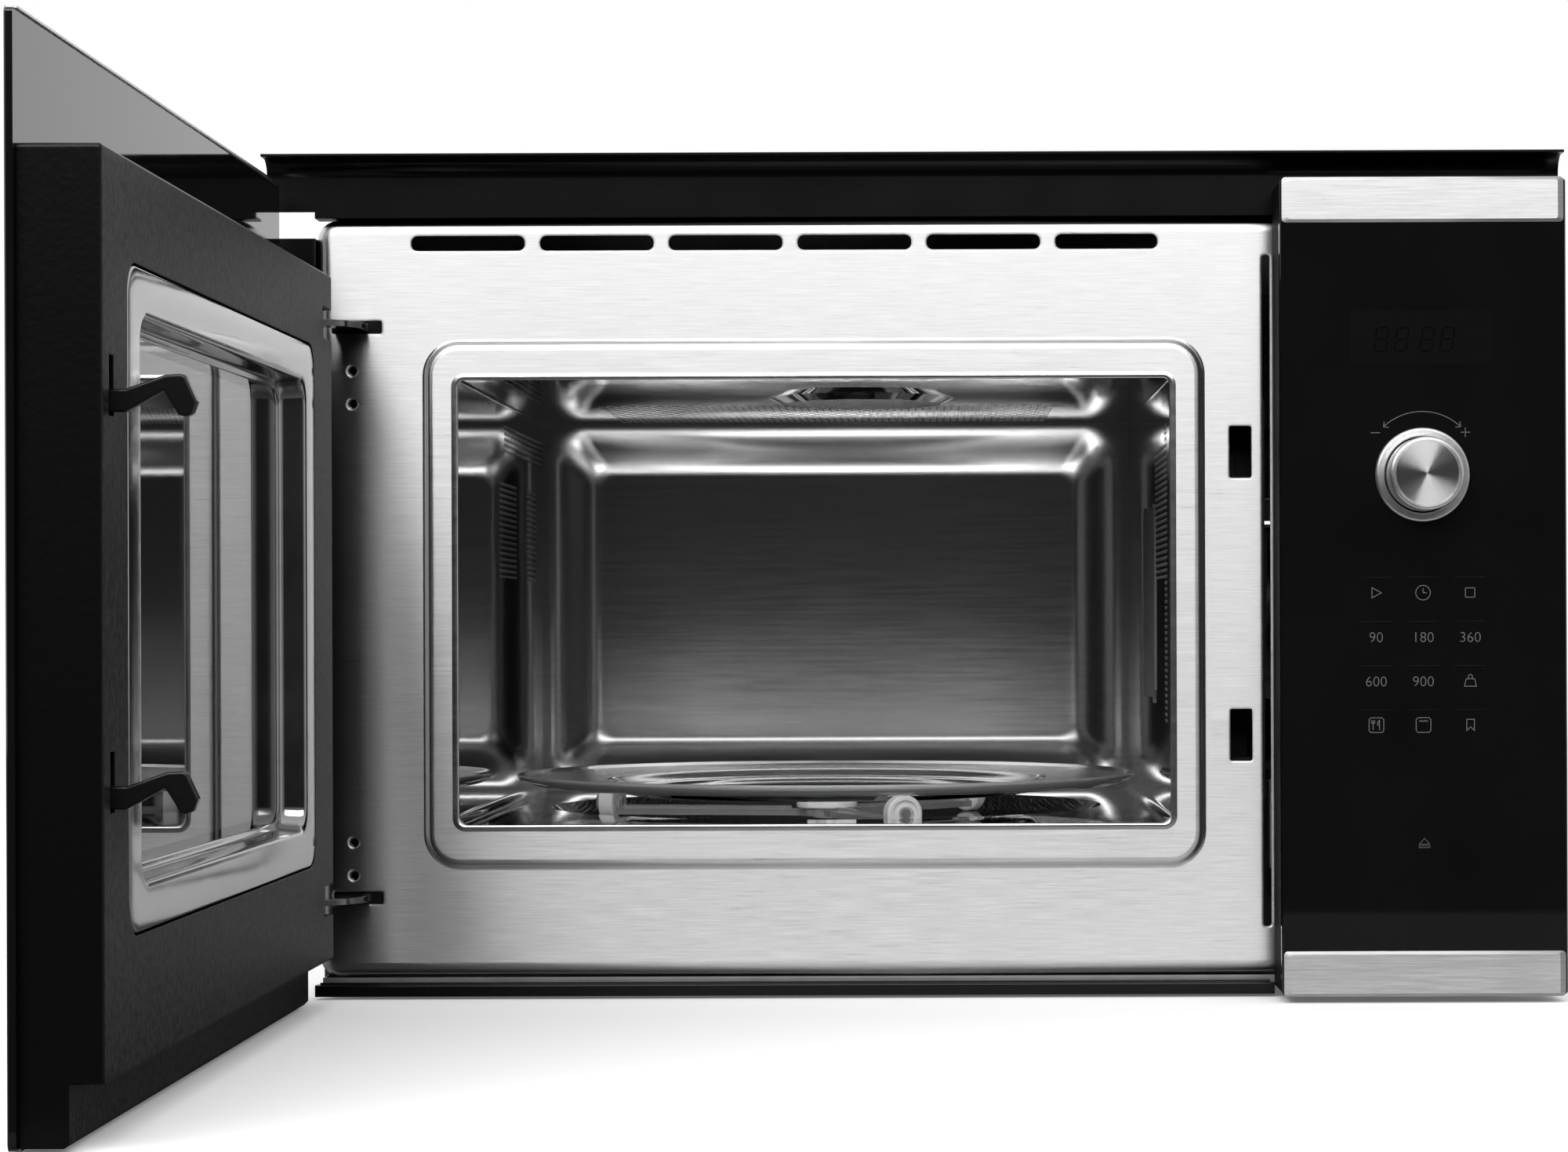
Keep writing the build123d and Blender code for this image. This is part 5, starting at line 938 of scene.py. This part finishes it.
def figure_bars():
    """Outlines of the seven bars about the figure's middle, in millimetres."""
    half, thin = bar_long / 2 - bar_gap, bar_thick / 2
    bars = []
    for across, up in bar_places:
        x, z = across * bar_long / 2, up * bar_long / 2
        if across:
            shape = [(0, half), (thin, half - thin), (thin, thin - half), (0, -half), (-thin, thin - half),
                     (-thin, half - thin)]
        else:
            shape = [(half, 0), (half - thin, thin), (thin - half, thin), (-half, 0), (thin - half, -thin),
                     (half - thin, -thin)]
        bars.append([(x + a + (z + b) * figure_lean, z + b) for a, b in shape])
    return bars


display_z = 299.0 * MM
figure_places = (211.2, 220.2, 231.8, 240.8)
colon_x = 226.0 * MM
colon_rise = 1.6
colon_half = 0.4
points = []
faces = []
for x in figure_places:
    for bar in figure_bars():
        faces.append(tuple(range(len(points), len(points) + len(bar))))
        points += [Vector((x * MM + a * MM, print_y, display_z + b * MM)) for a, b in bar]
colon_corners = ((1, 1), (-1, 1), (-1, -1), (1, -1))
for up in (-colon_rise, colon_rise):
    faces.append(tuple(range(len(points), len(points) + len(colon_corners))))
    for side, end in colon_corners:
        across = side * colon_half + up * figure_lean
        points.append(Vector((colon_x + across * MM, print_y, display_z + (up + end * colon_half) * MM)))
unlit = moulded("Unlit figures", grey(0.002), grey(0.003), (0.03, 0.05), scale=60.0, depth=0.0)
mesh_piece("display_figures", points, faces, unlit, slot="display", smooth=False)
tinted = moulded("Display window", grey(0.0054), grey(0.0062), (0.03, 0.05), scale=60.0, depth=0.0)
window_y = glass_face_y - 0.03 * MM
window_corners = [Vector((x * MM, window_y, z * MM))
                  for x, z in ((197.0, 288.0), (261.0, 288.0), (261.0, 312.0), (197.0, 312.0))]
mesh_piece("display_window", window_corners, [(0, 1, 2, 3)], tinted, slot="display", smooth=False)

# Floor: pale and plain, white to the camera with the object's soft shadow on it. Reflections see
# it with painted shade: darker in front, as if it were in the shade of the studio's front, and
# darker at the left, where the door's shadow falls.


def smooth_between(tree, value, low, high, top=1.0):
    """0 up to low, rising smoothly to the top value at high."""
    node = add(tree, "ShaderNodeMapRange", interpolation_type="SMOOTHSTEP")
    node.inputs["From Min"].default_value = low
    node.inputs["From Max"].default_value = high
    node.inputs["To Max"].default_value = top
    tree.links.new(value, node.inputs["Value"])
    return node.outputs["Result"]


floor_half_width = 4.0
floor_front_y = -0.53
floor_rear_y = 5.0
floor_seen = grey(0.97)
floor_glow = 0.12
floor_shaded = grey(0.10)
floor_lit = grey(0.60)
floor_mat, tree, shader = new_material("Pale floor")
path = add(tree, "ShaderNodeLightPath")
skin = use_group(tree, grain, Scale=40.0, Depth=0.02)
axes = axes_of(tree)
worn = ramp_between(tree, skin.outputs["Wear"], 0.0, 0.06)
# painted shade for reflections: a painted pool of light behind the front edge, dark in the door's shadow at
# the left
past_front = smooth_between(tree, axes["Y"], -0.28, -0.05)
clear_of_door_shadow = smooth_between(tree, axes["X"], -0.25, -0.08)
painted_light_pool = math_node(tree, "MULTIPLY", past_front, clear_of_door_shadow)
reflected = shade_between(tree, math_node(tree, "ADD", painted_light_pool, worn), floor_shaded, floor_lit)
tree.links.new(painted_over(tree, reflected, path.outputs["Is Camera Ray"], floor_seen),
               shader.inputs["Base Color"])
shader.inputs["Emission Color"].default_value = (1.0, 1.0, 1.0, 1.0)
glow = ramp_between(tree, path.outputs["Is Camera Ray"], 0.0, floor_glow)
tree.links.new(glow, shader.inputs["Emission Strength"])
shader.inputs["Roughness"].default_value = 0.8
shader.inputs["Specular IOR Level"].default_value = 0.1
floor_points = [
    (side * floor_half_width, y, 0.0)
    for side, y in ((-1, floor_front_y), (1, floor_front_y), (1, floor_rear_y), (-1, floor_rear_y))
]
floor_mesh = bpy.data.meshes.new("floor")
floor_mesh.from_pydata(floor_points, [], [(0, 1, 2, 3)])
floor_mesh.materials.append(floor_mat)
floor = bpy.data.objects.new("floor", floor_mesh)
bpy.context.scene.collection.objects.link(floor)

# Sky: white to the camera. The object is lit and mirrored by a sky that is white behind it, dark
# low down in front, and a little brighter at the right.
world = bpy.data.worlds.new("Studio")
world.use_nodes = True
tree = world.node_tree
sky = tree.nodes["Background"]
axes = axes_of(tree, "Generated")
front_sky = add(tree, "ShaderNodeValToRGB")
front_sky.color_ramp.elements[0].position = 0.13
front_sky.color_ramp.elements[0].color = (0.03, 0.03, 0.03, 1.0)
front_sky.color_ramp.elements[1].color = (0.9, 0.9, 0.9, 1.0)
front_sky.color_ramp.elements.new(0.45).color = (0.6, 0.6, 0.6, 1.0)
tree.links.new(axes["Z"], front_sky.inputs["Fac"])
rightness = smooth_between(tree, axes["X"], 0.45, 0.75, top=0.35)
front_level = math_node(tree, "MAXIMUM", front_sky.outputs["Color"], rightness)
backness = smooth_between(tree, axes["Y"], -0.5, 0.2)


def raised_to_white(tree, below, mask):
    """The brightness below, raised to 1 where the mask is 1."""
    node = add(tree, "ShaderNodeMix", data_type="FLOAT")
    node.inputs["B"].default_value = 1.0
    tree.links.new(mask, node.inputs["Factor"])
    tree.links.new(below, node.inputs["A"])
    return node.outputs["Result"]


level = raised_to_white(tree, front_level, backness)
path = add(tree, "ShaderNodeLightPath")
tree.links.new(raised_to_white(tree, level, path.outputs["Is Camera Ray"]), sky.inputs["Strength"])
sky.inputs["Color"].default_value = (1.0, 1.0, 1.0, 1.0)
bpy.context.scene.world = world

# Lamp: one large soft box, high in front of the object and a little to the left, aimed at the
# middle of the front.
lamp_data = bpy.data.lights.new("soft lamp", "AREA")
lamp_data.shape = "RECTANGLE"
lamp_data.size = 3.3
lamp_data.size_y = 1.2
lamp_data.energy = 56.0
lamp = bpy.data.objects.new("soft lamp", lamp_data)
lamp.location = (-0.5, -1.9, 1.53)
lamp_aim = Vector((0.0, 0.0, 0.2))
lamp.rotation_euler = (lamp_aim - lamp.location).to_track_quat("-Z", "Y").to_euler()
bpy.context.scene.collection.objects.link(lamp)

# Camera: level with the cavity and square to the front, a little right of the middle. The shift
# frames the object as the photograph does.
camera_data = bpy.data.cameras.new("camera")
camera_data.sensor_width = 36.0
camera_data.lens = 80.05
camera_data.shift_x = -0.095
camera_data.shift_y = 0.0328
camera_data.clip_end = 100.0
camera = bpy.data.objects.new("camera", camera_data)
camera.location = (8.7 * MM, -1605.0 * MM, 170.0 * MM)
camera.rotation_euler = (math.radians(90), math.radians(0.2), 0.0)
bpy.context.scene.collection.objects.link(camera)
bpy.context.scene.camera = camera
bpy.context.scene.view_settings.view_transform = "Standard"
